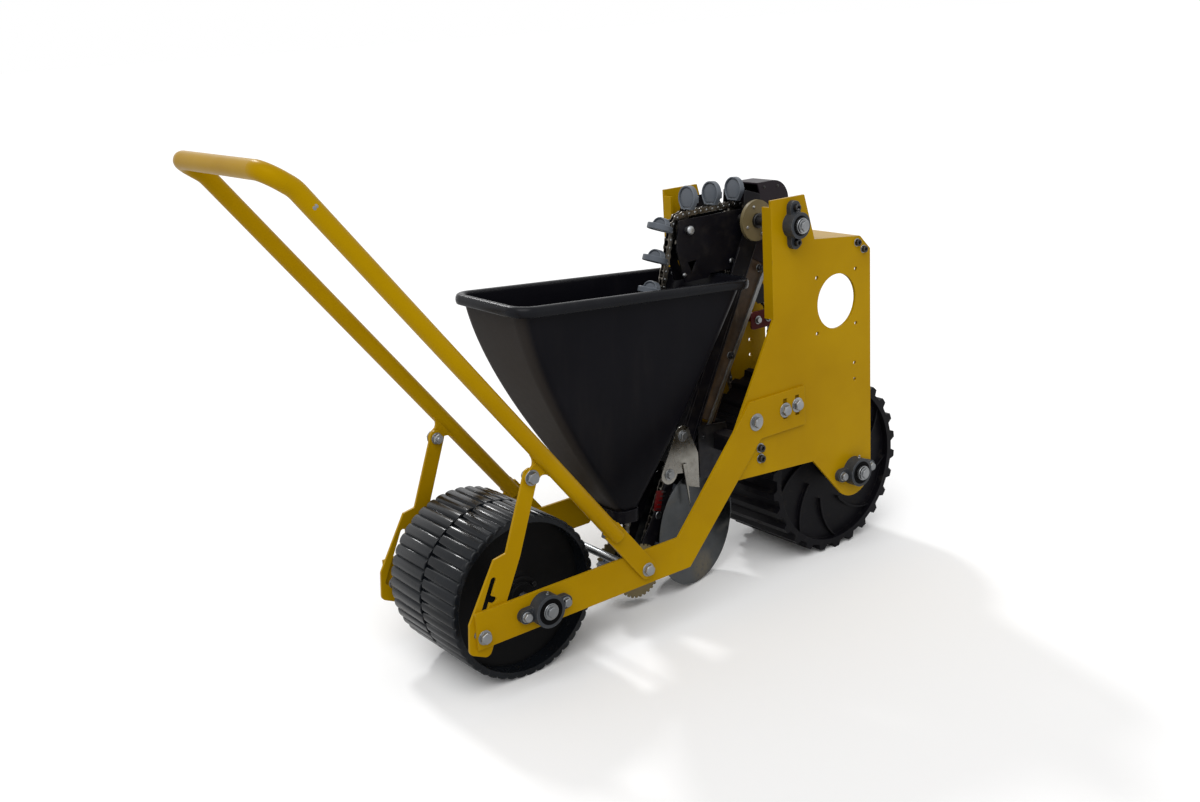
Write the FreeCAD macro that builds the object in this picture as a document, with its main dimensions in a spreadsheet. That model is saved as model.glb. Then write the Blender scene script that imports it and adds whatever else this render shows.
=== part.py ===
import FreeCAD, Part
import math
import os
import Sketcher
from FreeCAD import Placement, Rotation, Vector

# Walk-behind garlic planter. +X is the direction of travel, +Y the left side, +Z up.
# The origin lies on the ground in the middle of the machine's box. "Station" sizes
# along X are measured forward of the rear press wheel's axle.

doc = FreeCAD.newDocument("GarlicPlanter")
sheet = doc.addObject("Spreadsheet::Sheet", "Sizes")

SIZES = [
    ("rear_axle_back", 304.5, "origin to the press wheel's axle"),
    ("wheelbase", 861, "press wheel axle to drive wheel axle"),
    # press wheel
    ("press_radius", 162.5, "over the ribs"),
    ("press_width", 230, "over both drums"),
    ("press_split", 5, "gap between the two drums"),
    ("press_shell", 9, "drum wall under the ribs"),
    ("press_rib_count", 44, "ribs round each drum"),
    ("press_rib_depth", 5, "rib height"),
    ("press_rib_share", 0.45, "rib's width as a share of the step from rib to rib"),
    ("press_web", 8, "drum web thickness"),
    ("press_web_inset", 38, "drum's outer end to its web"),
    ("press_hub_radius", 27, "hub barrel"),
    ("press_hub_inset", 8, "drum's outer end to the hub's end"),
    # drive wheel
    ("drive_radius", 200, "over the lugs"),
    ("drive_width", 232, "over both halves"),
    ("drive_shell", 12, "drum wall under the lugs"),
    ("drive_lug_count", 26, "lugs round the wheel"),
    ("drive_lug_depth", 12, "lug height"),
    ("drive_lug_share", 0.3, "lug's width as a share of the step from lug to lug"),
    ("rib_slope", 0.12, "foot of a rib's or lug's side, as a share of that step"),
    ("drive_web", 10, "side wall thickness"),
    ("drive_web_inset", 16, "wheel's end to its side wall"),
    ("drive_hub_radius", 34, "hub barrel"),
    ("drive_hub_inset", 4, "wheel's end to the hub's end"),
    ("vane_count", 9, "curved vanes on each side wall"),
    ("vane_inner", 84, "radius where a vane starts"),
    ("vane_sweep", 32, "angle a vane turns through"),
    ("vane_width", 5, "vane"),
    ("vane_height", 8, "vane above the side wall"),
    # shafts and bearings
    ("axle_radius", 10, "both wheel axles"),
    ("axle_end", 8, "axle end past its bearing housing"),
    ("running_gap", 0.05, "radial clearance of a shaft in its bearing"),
    ("bearing_radius", 32, "two-bolt flange housing, round middle"),
    ("bearing_height", 26, "housing depth from its seat"),
    ("bearing_flange", 12, "housing ear thickness"),
    ("bearing_spacing", 90, "between the two bolts of a wheel bearing"),
    ("bearing_ear", 14, "ear radius"),
    ("top_bearing_spacing", 71, "between the two bolts of a top shaft bearing"),
    ("top_bearing_radius", 27, "top shaft housing, round middle"),
    # frame plates
    ("plate_thickness", 6, "side plates"),
    ("plate_half_inside", 160, "centre plane to a side plate's inner face"),
    ("plate_front", 920, "station of the front edge"),
    ("plate_rear", 624, "station of the rear flange"),
    ("plate_flange", 20, "width of the folded rear flange"),
    ("horn_top", 834, "height of the rear horn"),
    ("horn_front", 748, "station of the horn's foot"),
    ("horn_lean", 28, "how far the horn's front edge leans back"),
    ("deck_rear", 738, "height of the top edge at the horn's foot"),
    ("deck_drop", 14, "fall of the top edge to the front"),
    ("corner_cut", 32, "cut of the top front corner"),
    ("slant_top", 590, "height where the rear edge starts to slant"),
    ("toe_station", 504, "station of the plate's rear toe"),
    ("toe_top", 374, "height of the toe's upper corner"),
    ("toe_bottom", 272, "height of the toe's lower corner"),
    ("belly_station", 735, "station where the lower edge turns down"),
    ("belly_height", 254, "height of that corner"),
    ("lobe_radius", 59, "round lobe about the drive axle"),
    ("port_station", 813.5, "round port's centre"),
    ("port_height", 595, "round port's centre"),
    ("port_radius", 59, "round port"),
    ("port_hole_spacing", 120, "square of four holes round the port"),
    ("small_hole", 4.5, "radius of the plate's small holes"),
    ("front_hole_station", 869, "two small holes near the front edge"),
    ("front_hole_height", 428.5, "middle of those holes"),
    ("front_hole_step", 37, "between those holes"),
    # rear arms
    ("arm_thickness", 6, "rear arms, on the outer faces of the side plates"),
    ("arm_height", 72, "height of the level part of an arm"),
    ("arm_rear", 146, "rear end behind the press axle"),
    ("arm_bend_low", 365, "station of the lower bend at the bottom edge"),
    ("arm_bend_high", 575, "station of the upper bend at the bottom edge"),
    ("arm_bend_shift", 28, "top edge bends this much further back"),
    ("tongue_front", 705, "station of the tongue's front end"),
    ("tongue_bottom", 348, "height of the tongue's lower edge"),
    ("tongue_height", 85, "height of the tongue"),
    ("slot_station", 664, "middle of the tongue's two upright slots"),
    ("slot_spacing", 36, "between those slots"),
    ("slot_height", 396, "middle of those slots"),
    ("slot_length", 44, "upright slots"),
    ("slot_width", 12, "upright slots"),
    # cross members
    ("tie_rod_radius", 8, "bright rod between the arms"),
    ("tie_rod_station", 208, "tie rod"),
    ("tie_rod_height", 178, "tie rod"),
    ("cross_tube", 36, "square cross tube between the side plates"),
    ("cross_wall", 3, "wall of the cross tube"),
    ("cross_station", 578, "cross tube"),
    ("cross_height", 318, "cross tube"),
    ("deck_sheet", 3, "folded plate across the top"),
    ("deck_flange", 22, "its side flanges"),
    ("deck_clear", 8, "the plate is cut away round the hood and the chain by this much"),
    ("small_bend", 4, "small bends in the outlines of sheet pieces"),
    ("fit_gap", 0.2, "between pieces that lie against each other"),
    # handle
    ("tube_radius", 16, "handle tube"),
    ("tube_wall", 2.5, "handle tube"),
    ("tube_half_width", 176, "centre plane to a side tube"),
    ("grip_height", 1023, "cross grip's centre"),
    ("grip_back", 432, "cross grip's centre behind the press axle"),
    ("grip_knee_back", 388, "knee below the grip, behind the press axle"),
    ("grip_knee_height", 992, "knee below the grip"),
    ("grip_corner", 32, "bend radius of the grip's corners"),
    ("knee_bend", 60, "bend radius at the knee"),
    ("handle_bolt_station", 250, "bolt of a handle tube on its arm"),
    ("handle_bolt_height", 160, "bolt of a handle tube on its arm"),
    ("lap_length", 130, "flat end plate, from the tube's end to the bolt"),
    ("lap_width", 40, "flat end plate"),
    ("lap_thickness", 6, "flat end plate"),
    # struts
    ("strut_thickness", 5, "slotted struts, inside the arms"),
    ("strut_top_station", -1, "strut's top bolt"),
    ("strut_top_height", 420, "strut's top bolt"),
    ("strut_foot_station", -131, "strut's foot bolt on the arm"),
    ("strut_foot_height", 148, "strut's foot bolt on the arm"),
    ("strut_bolt_radius", 6, "bolts at both ends of a strut"),
    ("strut_head", 16, "strut metal round its top bolt"),
    ("strut_shoulder", 145, "top bolt to where the strut widens"),
    ("strut_front", 30, "bolt line to the wide part's front edge"),
    ("strut_rear", 36, "bolt line to the wide part's rear edge"),
    ("strut_rear_top", 25, "bolt line to that edge at the shoulder"),
    ("strut_waist", 3, "rear edge above the shoulder, behind the bolt line"),
    ("strut_bend", 12, "bends of the wide part"),
    ("strut_tail", 38, "metal below the foot bolt"),
    ("strut_slot", 13, "width of the strut's slot"),
    ("strut_slot_back", 13, "slot's middle behind the bolt line"),
    ("strut_step", 34.5, "spacing of the three seats on the slot"),
    ("tab_width", 28, "tab that joins a handle tube to its strut"),
    # hopper
    ("hopper_rim_rear", 45, "station of the rim's rear edge"),
    ("hopper_rim_front", 612, "station of the rim's front edge"),
    ("hopper_rim_height", 692, "rim height at its middle"),
    ("hopper_half_width", 108, "rim"),
    ("hopper_depth", 462, "rim to the outlet"),
    ("hopper_outlet_rear", 290, "station of the outlet's rear edge"),
    ("hopper_outlet_front", 346, "station of the outlet's front edge"),
    ("hopper_outlet_half", 44, "outlet's half width"),
    ("hopper_corner", 30, "corner radius at the rim"),
    ("outlet_corner", 18, "corner radius at the outlet"),
    ("hopper_wall", 4, "moulded wall"),
    ("hopper_lip", 12, "rolled rim's width"),
    ("hopper_lip_drop", 16, "rolled rim's depth"),
    ("hopper_tilt", 4.4, "the rim falls to the front by this angle"),
    ("hopper_bow", 1.5, "how late the rear wall sweeps in: 1 is straight"),
    ("hopper_bulge", 9.6, "each side wall swells by this at half depth"),
    ("hopper_slot", 80, "the front wall is open this far above the outlet"),
    ("collar_height", 26, "clamp round the outlet"),
    ("collar_wall", 5, "clamp round the outlet"),
    # elevator
    ("top_shaft_station", 682, "top shaft"),
    ("top_shaft_height", 778, "top shaft"),
    ("top_shaft_radius", 10, "top shaft"),
    ("idler_station", 531, "idler sprocket"),
    ("idler_height", 776, "idler sprocket"),
    ("idler_axle_radius", 8, "idler's axle"),
    ("idler_axle_half", 32, "centre plane to the idler axle's end"),
    ("foot_station", 340, "bottom sprocket"),
    ("foot_height", 82, "bottom sprocket"),
    ("foot_flange", 59, "radius of the bottom sprocket's toothed side discs"),
    ("foot_teeth", 32, "teeth round a side disc"),
    ("foot_tooth", 4, "tooth height"),
    ("tooth_share", 0.4, "tooth's tip as a share of the step from tooth to tooth"),
    ("tooth_slope", 0.15, "foot of a tooth's side, as a share of that step"),
    ("sprocket_radius", 31, "pitch radius of the top sprocket and the idler"),
    ("foot_radius", 24, "pitch radius of the bottom sprocket"),
    ("chain_width", 14, "elevator chain over its link plates"),
    ("chain_roller_width", 8, "between the link plates"),
    ("chain_height", 13, "height of the link plates"),
    ("chain_roller", 7.5, "height of the rollers"),
    ("cup_count", 28, "cups round the chain"),
    ("cup_first", 19, "first cup ahead of the idler's top"),
    ("cup_width", 50, "seed cup's wide end"),
    ("cup_neck", 34, "seed cup's narrow end, on the chain"),
    ("cup_reach", 56, "chain's middle line to a cup's tip"),
    ("cup_lean", 6.5, "a cup leans this way of travel"),
    ("cup_tray", 12, "thickness of a cup's tray"),
    ("cup_seat", 9, "chain's edge to the middle of the narrow end"),
    ("cup_wall", 3, "moulded wall of a cup"),
    ("cup_hollow", 4, "depth of the hollow on a cup's trailing side"),
    ("cup_back_height", 15, "half-round wall on a cup's leading side"),
    ("cup_back_width", 42, "that wall"),
    ("cup_back_out", 21, "chain's middle line to that wall"),
    ("cup_back_depth", 13, "thickness of that wall"),
    # chute round the falling run of the chain
    ("chute_half", 33, "half width over the channel"),
    ("chute_sheet", 3, "sheet thickness"),
    ("chute_rear", 25, "chain's middle line to the channel's back"),
    ("chute_front", 21, "chain's middle line to the channel's front edge"),
    ("chute_rear_top", 30, "channel's rear edge starts here, down the falling run"),
    ("chute_foot", 615, "channel's rear edge ends here, down the falling run"),
    ("chute_end", 540, "channel's lower end, down the falling run"),
    ("strap_rise", 61, "top shaft to the channel's upper rear corner, straight above it"),
    ("strap_width", 43, "channel's upper edge"),
    ("strap_fall", 13, "fall of that edge to the front"),
    ("chute_web_start", 150, "upper end of the channel's back"),
    ("cover_depth", 61, "chain's middle line to the front cover"),
    ("cover_start", 70, "cover's upper end"),
    ("cover_end", 428, "cover's lower end"),
    ("cover_lap", 10, "the cover's sides reach this far back into the channel"),
    ("rail_width", 9, "bright bars beside the cover"),
    ("rail_thickness", 4, "bright bars beside the cover"),
    ("rail_top_station", 736, "upper end of a bar"),
    ("rail_top_height", 671, "upper end of a bar"),
    ("rail_foot_station", 539, "lower end of a bar"),
    ("rail_foot_height", 331, "lower end of a bar"),
    ("boot_front", 452, "station where the channel's lower end narrows"),
    ("boot_height", 256, "height of that corner"),
    ("boot_round", 24, "metal round the bottom sprocket's axle"),
    # hood over the top sprocket
    ("hood_front", 128, "ahead of the top shaft"),
    ("hood_top", 71, "above the top shaft"),
    ("hood_round", 45, "front upper corner"),
    ("hood_mouth", 36, "mouth's upper edge ahead of the top shaft"),
    ("hood_sill", 40, "front wall turns in this far under the top shaft"),
    ("top_disc_radius", 43, "cream disc on the top shaft"),
    ("top_disc_out", 60, "centre plane to that disc"),
    ("top_disc_depth", 8, "its thickness"),
    ("top_disc_hub", 17, "its hub"),
    # head bracket that carries the idler
    ("head_half", 18, "half width over the bracket's plates"),
    ("head_plate", 4, "plate thickness"),
    ("head_top", 22, "top edge above the idler"),
    ("head_brow", 20, "top shaft to the bracket's upper edge, over the shaft"),
    ("head_rear", 22, "rear upper corner behind the idler"),
    ("head_hip", 31, "widest point behind the idler"),
    ("head_hip_drop", 37, "that point under the idler"),
    ("head_foot", 12, "rear foot behind the idler"),
    ("head_drop", 108, "rear part's lower edge under the idler"),
    ("head_slope", 8, "length of the step's slope"),
    ("head_step", 52, "that edge steps up this far ahead of the idler"),
    ("head_belly", 100, "front part's lower edge under the idler"),
    ("head_front", 150, "ahead of the idler"),
    ("head_eye", 18, "metal round the top shaft"),
    ("head_window", 13, "half size of the three-cornered opening"),
    ("head_window_drop", 79, "that opening under the idler"),
    ("head_window_ahead", 9, "that opening ahead of the idler"),
    # drive to the top shaft, on the left side
    ("drive_chain_out", 130, "centre plane to the drive chain"),
    ("drive_chain_width", 12, "drive chain"),
    ("drive_chain_height", 10, "drive chain"),
    ("top_pinion_radius", 30, "pitch radius on the top shaft"),
    ("axle_pinion_radius", 36, "pitch radius on the drive axle"),
    ("tension_station", 888, "tensioning roller"),
    ("tension_height", 504, "tensioning roller"),
    ("tension_radius", 14, "tensioning roller under the chain"),
    ("tension_plate_back", 55, "red plate's rear end behind the roller"),
    ("tension_plate_front", 26, "red plate's front end ahead of the roller"),
    ("tension_plate_height", 42, "red plate"),
    ("tension_plate_out", 116, "centre plane to the red plate"),
    ("tension_plate_sheet", 4, "red plate"),
    ("guard_out", 104, "centre plane to the chain guard"),
    ("guard_rise", 42, "guard's top above the top shaft"),
    ("guard_bend", 25, "guard's corners"),
    # opener discs
    ("disc_radius", 130, "opener discs"),
    ("disc_thickness", 4, "opener discs"),
    ("disc_edge", 0.8, "thickness at a disc's rim"),
    ("disc_station", 508, "opener discs' middle"),
    ("disc_stagger", 10, "the left disc runs this far ahead"),
    ("disc_height", 133, "opener discs' middle"),
    ("disc_half_gap", 30.5, "centre plane to a disc's middle"),
    ("disc_angle", 12, "each disc is turned in at the front"),
    ("disc_hub", 26, "hub radius"),
    ("disc_hub_out", 9, "hub beyond the disc's middle, on its outer face"),
    ("disc_hub_in", 6, "hub beyond the disc's middle, on its inner face"),
    ("hanger_thickness", 15, "hanger between the discs"),
    ("hanger_width", 38, "hanger between the discs"),
    ("hanger_lap", 7, "the hanger reaches this far up beside the cross tube"),
    ("carrier_out", 47, "centre plane to the bright carrier plates"),
    ("carrier_sheet", 3, "bright carrier plates"),
    ("carrier_top_station", 465, "carrier plate's upper bolt"),
    ("carrier_top_height", 355, "carrier plate's upper bolt"),
    ("carrier_low_station", 424, "carrier plate's lower bolt"),
    ("carrier_low_height", 279, "carrier plate's lower bolt"),
    ("carrier_round", 21, "metal round those bolts"),
    ("carrier_leg_front", 506, "station of the carrier's front leg"),
    ("carrier_leg_rear", 477, "station of that leg's rear edge"),
    ("carrier_leg_top", 306, "height of that leg's upper corner"),
    ("carrier_leg_foot", 228, "height of that leg's lower end"),
    ("carrier_notch", 272, "height of the notch between the legs"),
    ("scraper_foot", 196, "height of the scraper's point"),
    ("scraper_width", 5, "scraper"),
    ("bracket_out", 38, "centre plane to the cross tube's bracket"),
    ("bracket_sheet", 3, "cross tube's bracket"),
    ("bracket_rear", 517, "station of its rear edge"),
    ("bracket_front", 599, "station of its front edge"),
    ("bracket_top", 360, "height of its rear upper corner"),
    ("bracket_front_top", 351, "height of its front upper corner"),
    ("bracket_toe", 588, "station of its front lower corner"),
    ("bracket_foot", 226, "height of its lower edge"),
    ("lever_width", 18, "red lever beside the boot"),
    ("lever_length", 42, "red lever beside the boot"),
    ("lever_station", 408, "red lever's upper end"),
    ("lever_height", 244, "red lever's upper end"),
]
for row, (alias, value, note) in enumerate(SIZES, start=1):
    sheet.set(f"A{row}", alias)
    sheet.set(f"B{row}", str(value))
    sheet.set(f"C{row}", note)
    sheet.setAlias(f"B{row}", alias)
doc.recompute()


class Values:
    """The sheet's numbers, by alias."""

    def __getattr__(self, alias):
        return float(sheet.get(alias))


size = Values()
SIDES = (("right", -1), ("left", 1))
SLANT = math.sqrt(0.5)  # a run at half a right angle, along either way
NEARLY_ROUND = 0.8  # bend radius as a share of the half width it rounds off
MITRE = math.tan(math.radians(22.5))  # a fold of half a right angle
parts = []


# ---------------------------------------------------------------- helpers

def keep(item, label, station="0", across="0", height="0"):
    """Labels a sub-part and places it; station, across and height are expressions."""
    item.Label = label
    item.setExpression("Placement.Base.x", f"{station} - Sizes.rear_axle_back")
    item.setExpression("Placement.Base.y", across)
    item.setExpression("Placement.Base.z", height)
    parts.append(item)
    return item


def new_body(label, station="0", across="0", height="0"):
    return keep(doc.addObject("PartDesign::Body", label), label, station, across, height)


def new_sketch(body, role, name):
    sketch = body.newObject("Sketcher::SketchObject", name)
    plane = next(item for item in body.Origin.OriginFeatures if item.Role == role)
    sketch.AttachmentSupport = (plane, [""])
    sketch.MapMode = "FlatFace"
    return sketch


def add_outline(sketch, points):
    """A closed outline through points, each a pair of expressions."""
    first = sketch.GeometryCount
    count = len(points)

    def start(index):
        angle = -2 * math.pi * index / count
        return Vector(math.cos(angle), math.sin(angle), 0)

    for index in range(count):
        sketch.addGeometry(Part.LineSegment(start(index), start(index + 1)))
    for index in range(count):
        following = (index + 1) % count
        sketch.addConstraint(
            Sketcher.Constraint("Coincident", first + index, 2, first + following, 1))
    for index, (across, up) in enumerate(points):
        corner = start(index)
        pairs = (("DistanceX", across, corner.x), ("DistanceY", up, corner.y))
        for kind, expression, value in pairs:
            number = sketch.addConstraint(
                Sketcher.Constraint(kind, -1, 1, first + index, 1, value))
            sketch.setExpression(f"Constraints[{number}]", expression)


def add_box(sketch, across, up, wide, high):
    """A rectangle about a middle point."""
    left = f"{across} - ({wide}) / 2"
    right = f"{across} + ({wide}) / 2"
    low = f"{up} - ({high}) / 2"
    top = f"{up} + ({high}) / 2"
    add_outline(sketch, [(left, top), (right, top), (right, low), (left, low)])


def add_circle(sketch, across, up, radius):
    index = sketch.addGeometry(Part.Circle(Vector(1, 1, 0), Vector(0, 0, 1), 2))
    for kind, expression in (("DistanceX", across), ("DistanceY", up)):
        number = sketch.addConstraint(Sketcher.Constraint(kind, -1, 1, index, 3, 1))
        sketch.setExpression(f"Constraints[{number}]", expression)
    number = sketch.addConstraint(Sketcher.Constraint("Radius", index, 2))
    sketch.setExpression(f"Constraints[{number}]", radius)


def pad(body, sketch, length, flip=False, both=False):
    item = body.newObject("PartDesign::Pad", sketch.Name + "Pad")
    item.Profile = sketch
    item.setExpression("Length", length)
    item.Reversed = flip
    item.Midplane = both
    return item


def pocket(body, sketch):
    """Cuts right through both ways."""
    item = body.newObject("PartDesign::Pocket", sketch.Name + "Cut")
    item.Profile = sketch
    item.Type = "ThroughAll"
    item.Midplane = True
    return item


def feature(label, shapes, station="0", across="0", height="0"):
    """Keeps one shape, or several that don't touch, as a sub-part."""
    item = doc.addObject("Part::Feature", label)
    item.Shape = Part.makeCompound(shapes if isinstance(shapes, list) else [shapes])
    return keep(item, label, station, across, height)


def rod(radius, low, high, x=0.0, z=0.0):
    """A round bar along Y."""
    return Part.makeCylinder(radius, high - low, Vector(x, low, z), Vector(0, 1, 0))


def box(x0, x1, low, high, z0, z1):
    return Part.makeBox(x1 - x0, high - low, z1 - z0, Vector(x0, low, z0))


def mirrored(shape):
    """The same on the other side of the machine's middle plane."""
    return shape.mirror(Vector(0, 0, 0), Vector(0, 1, 0))


def both_sides(shape):
    return [shape, mirrored(shape)]


def rounded_edges(corners, closed=True):
    """Edges through corners, each a point and the radius of the bend there."""
    count = len(corners)
    bends = []
    for index, (corner, radius) in enumerate(corners):
        if radius == 0:
            bends.append((corner, None, corner))
            continue
        before = (corners[index - 1][0] - corner).normalize()
        after = (corners[(index + 1) % count][0] - corner).normalize()
        half = before.getAngle(after) / 2
        reach = radius / math.tan(half)
        inward = (before + after).normalize()
        centre = corner + inward * (radius / math.sin(half))
        bends.append((corner + before * reach, centre - inward * radius, corner + after * reach))
    edges = []
    for index, (first, middle, second) in enumerate(bends):
        if middle is not None:
            edges.append(Part.Arc(first, middle, second).toShape())
        if closed or index < count - 1:
            following = bends[(index + 1) % count][0]
            if (following - second).Length > 1e-6:
                edges.append(Part.LineSegment(second, following).toShape())
    return edges


def flat(corners, low, high):
    """Sheet between y = low and y = high. Each corner is (x, z) or (x, z, bend radius)."""
    points = [(Vector(c[0], low, c[1]), c[2] if len(c) > 2 else 0) for c in corners]
    face = Part.Face(Part.Wire(rounded_edges(points)))
    return face.extrude(Vector(0, high - low, 0))


def slab(start, end, width, low, high, round_ends=False):
    """A straight bar between two points (x, z) of the side view, as wide as given."""
    run = Vector(end[0] - start[0], 0, end[1] - start[1])
    length = run.Length
    run.normalize()
    side = Vector(-run.z, 0, run.x) * (width / 2)
    tail = Vector(start[0], low, start[1])
    corners = [tail + side, tail + run * length + side, tail + run * length - side, tail - side]
    shape = Part.Face(Part.makePolygon(corners + [corners[0]])).extrude(Vector(0, high - low, 0))
    if round_ends:
        ends = [rod(width / 2, low, high, start[0], start[1]), rod(width / 2, low, high, end[0], end[1])]
        shape = shape.fuse(ends)
    return shape


# ---------------------------------------------------------------- side plates and arms

def side_plate(side, sign):
    body = new_body(f"side_plate_{side}", across=f"{sign} * Sizes.plate_half_inside")
    sketch = new_sketch(body, "XZ_Plane", f"PlateOutline{side}")
    reach = f"Sizes.lobe_radius * {SLANT}"
    add_outline(sketch, [
        ("Sizes.plate_rear", "Sizes.horn_top"),
        ("Sizes.horn_front - Sizes.horn_lean", "Sizes.horn_top"),
        ("Sizes.horn_front", "Sizes.deck_rear"),
        ("Sizes.plate_front - Sizes.corner_cut", "Sizes.deck_rear - Sizes.deck_drop"),
        ("Sizes.plate_front", "Sizes.deck_rear - Sizes.deck_drop - Sizes.corner_cut"),
        ("Sizes.plate_front", "Sizes.drive_radius"),
        ("Sizes.wheelbase", "Sizes.drive_radius"),
        (f"Sizes.wheelbase - {reach}", f"Sizes.drive_radius - {reach}"),
        ("Sizes.belly_station", "Sizes.belly_height"),
        ("Sizes.toe_station", "Sizes.toe_bottom"),
        ("Sizes.toe_station", "Sizes.toe_top"),
        ("Sizes.plate_rear", "Sizes.slant_top"),
    ])
    pad(body, sketch, "Sizes.plate_thickness", flip=sign > 0)
    lobe = new_sketch(body, "XZ_Plane", f"Lobe{side}")
    add_circle(lobe, "Sizes.wheelbase", "Sizes.drive_radius", "Sizes.lobe_radius")
    pad(body, lobe, "Sizes.plate_thickness", flip=sign > 0)
    flange = new_sketch(body, "XZ_Plane", f"Flange{side}")
    add_outline(flange, [
        ("Sizes.plate_rear", "Sizes.slant_top"),
        ("Sizes.plate_rear", "Sizes.horn_top - Sizes.deck_drop"),
        ("Sizes.plate_rear + Sizes.plate_thickness", "Sizes.horn_top - Sizes.deck_drop"),
        ("Sizes.plate_rear + Sizes.plate_thickness", "Sizes.slant_top"),
    ])
    pad(body, flange, "Sizes.plate_flange", flip=sign < 0)
    holes = new_sketch(body, "XZ_Plane", f"Holes{side}")
    add_circle(holes, "Sizes.port_station", "Sizes.port_height", "Sizes.port_radius")
    for across in ("+", "-"):
        for up in ("+", "-"):
            add_circle(holes, f"Sizes.port_station {across} Sizes.port_hole_spacing / 2",
                       f"Sizes.port_height {up} Sizes.port_hole_spacing / 2", "Sizes.small_hole")
    for way in ("+", "-"):
        add_circle(holes, "Sizes.front_hole_station",
                   f"Sizes.front_hole_height {way} Sizes.front_hole_step / 2", "Sizes.small_hole")
    add_circle(holes, "Sizes.wheelbase", "Sizes.drive_radius",
               "Sizes.axle_radius + Sizes.bearing_ear / 2")
    add_circle(holes, "Sizes.top_shaft_station", "Sizes.top_shaft_height",
               "Sizes.top_shaft_radius + Sizes.bearing_ear / 2")
    pocket(body, holes)


def arm(side, sign):
    body = new_body(f"arm_{side}",
                    across=f"{sign} * (Sizes.plate_half_inside + Sizes.plate_thickness)")
    sketch = new_sketch(body, "XZ_Plane", f"ArmOutline{side}")
    low = "Sizes.press_radius - Sizes.arm_height / 2"
    high = "Sizes.press_radius + Sizes.arm_height / 2"
    tongue = "Sizes.tongue_bottom + Sizes.tongue_height"
    add_outline(sketch, [
        ("-Sizes.arm_rear", high),
        ("Sizes.arm_bend_low - Sizes.arm_bend_shift", high),
        ("Sizes.arm_bend_high - Sizes.arm_bend_shift", tongue),
        ("Sizes.tongue_front", tongue),
        ("Sizes.tongue_front", "Sizes.tongue_bottom"),
        ("Sizes.arm_bend_high", "Sizes.tongue_bottom"),
        ("Sizes.arm_bend_low", low),
        ("-Sizes.arm_rear", low),
    ])
    pad(body, sketch, "Sizes.arm_thickness", flip=sign > 0)
    holes = new_sketch(body, "XZ_Plane", f"ArmHoles{side}")
    add_circle(holes, "0", "Sizes.press_radius", "Sizes.axle_radius + Sizes.bearing_ear / 2")
    for way in ("+", "-"):
        add_box(holes, f"Sizes.slot_station {way} Sizes.slot_spacing / 2", "Sizes.slot_height",
                "Sizes.slot_width", "Sizes.slot_length")
    pocket(body, holes)


def deck_plate():
    """Sheet folded along the plates' upper edges and their cut corners, with side flanges."""
    rear = size.horn_front + size.deck_sheet
    front = size.plate_front - size.corner_cut
    level = size.deck_rear - size.deck_drop
    fall = size.deck_drop / (front - size.horn_front)
    corner = size.corner_cut - size.deck_sheet * 2
    line = [(rear, size.deck_rear - fall * (rear - size.horn_front)), (front, level),
            (front + corner, level - corner)]
    half = size.plate_half_inside - size.fit_gap

    def strip(depth, low, high):
        lower = [(line[2][0] - depth * SLANT, line[2][1] - depth * SLANT),
                 (line[1][0] - depth * MITRE, line[1][1] - depth), (rear, line[0][1] - depth)]
        return flat(line + lower, low, high)

    sheet = strip(size.deck_sheet, -half, half)
    flange = strip(size.deck_flange, half - size.deck_sheet, half)
    ahead = size.top_shaft_station + size.hood_front + size.deck_clear
    gap = box(size.plate_rear, ahead, -size.chute_half - size.deck_clear,
              size.drive_chain_out + size.drive_chain_width, level - size.deck_flange, size.horn_top)
    feature("deck_plate", sheet.cut(gap).fuse(both_sides(flange)))


def cross_tube():
    half = size.cross_tube / 2
    hollow = half - size.cross_wall
    reach = size.plate_half_inside - size.fit_gap
    outside = box(-half, half, -reach, reach, -half, half)
    inside = box(-hollow, hollow, -reach, reach, -hollow, hollow)
    feature("cross_tube", outside.cut(inside), "Sizes.cross_station", "0", "Sizes.cross_height")


# ---------------------------------------------------------------- wheels

def ring_section(points):
    """Revolves a half section, a list of (radius, y), about the Y axis."""
    wire = Part.makePolygon([Vector(r, y, 0) for r, y in points + [points[0]]])
    return Part.Face(wire).revolve(Vector(0, 0, 0), Vector(0, 1, 0), 360)


def toothed_ring(radius, root, count, share, slope, low, high, inside):
    """A ring along Y whose outside carries straight ribs, one of them pointing straight down."""
    pitch = 2 * math.pi / int(count)
    points = []
    for index in range(int(count)):
        middle = -math.pi / 2 + index * pitch
        for reach, turn in ((root, -share / 2 - slope), (radius, -share / 2),
                            (radius, share / 2), (root, share / 2 + slope)):
            angle = middle + turn * pitch
            reach /= math.cos(turn * pitch)
            points.append(Vector(reach * math.cos(angle), low, reach * math.sin(angle)))
    face = Part.Face(Part.makePolygon(points + [points[0]]))
    return face.extrude(Vector(0, high - low, 0)).cut(rod(inside, low - 1, high + 1))


def press_drum(side, sign):
    inner = size.press_split / 2
    outer = size.press_width / 2
    root = size.press_radius - size.press_rib_depth
    shell = root - size.press_shell
    web = outer - size.press_web_inset
    hub = outer - size.press_hub_inset
    ribs = toothed_ring(size.press_radius, root, size.press_rib_count,
                        size.press_rib_share, size.rib_slope, inner, outer, shell)
    wheel = ring_section([
        (size.axle_radius, inner), (size.press_hub_radius, inner),
        (size.press_hub_radius, web - size.press_web), (shell + 1, web - size.press_web),
        (shell + 1, web), (size.press_hub_radius, web), (size.press_hub_radius, hub),
        (size.axle_radius, hub),
    ])
    shape = ribs.fuse(wheel)
    feature(f"press_drum_{side}", shape if sign > 0 else mirrored(shape),
            height="Sizes.press_radius")


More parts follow.
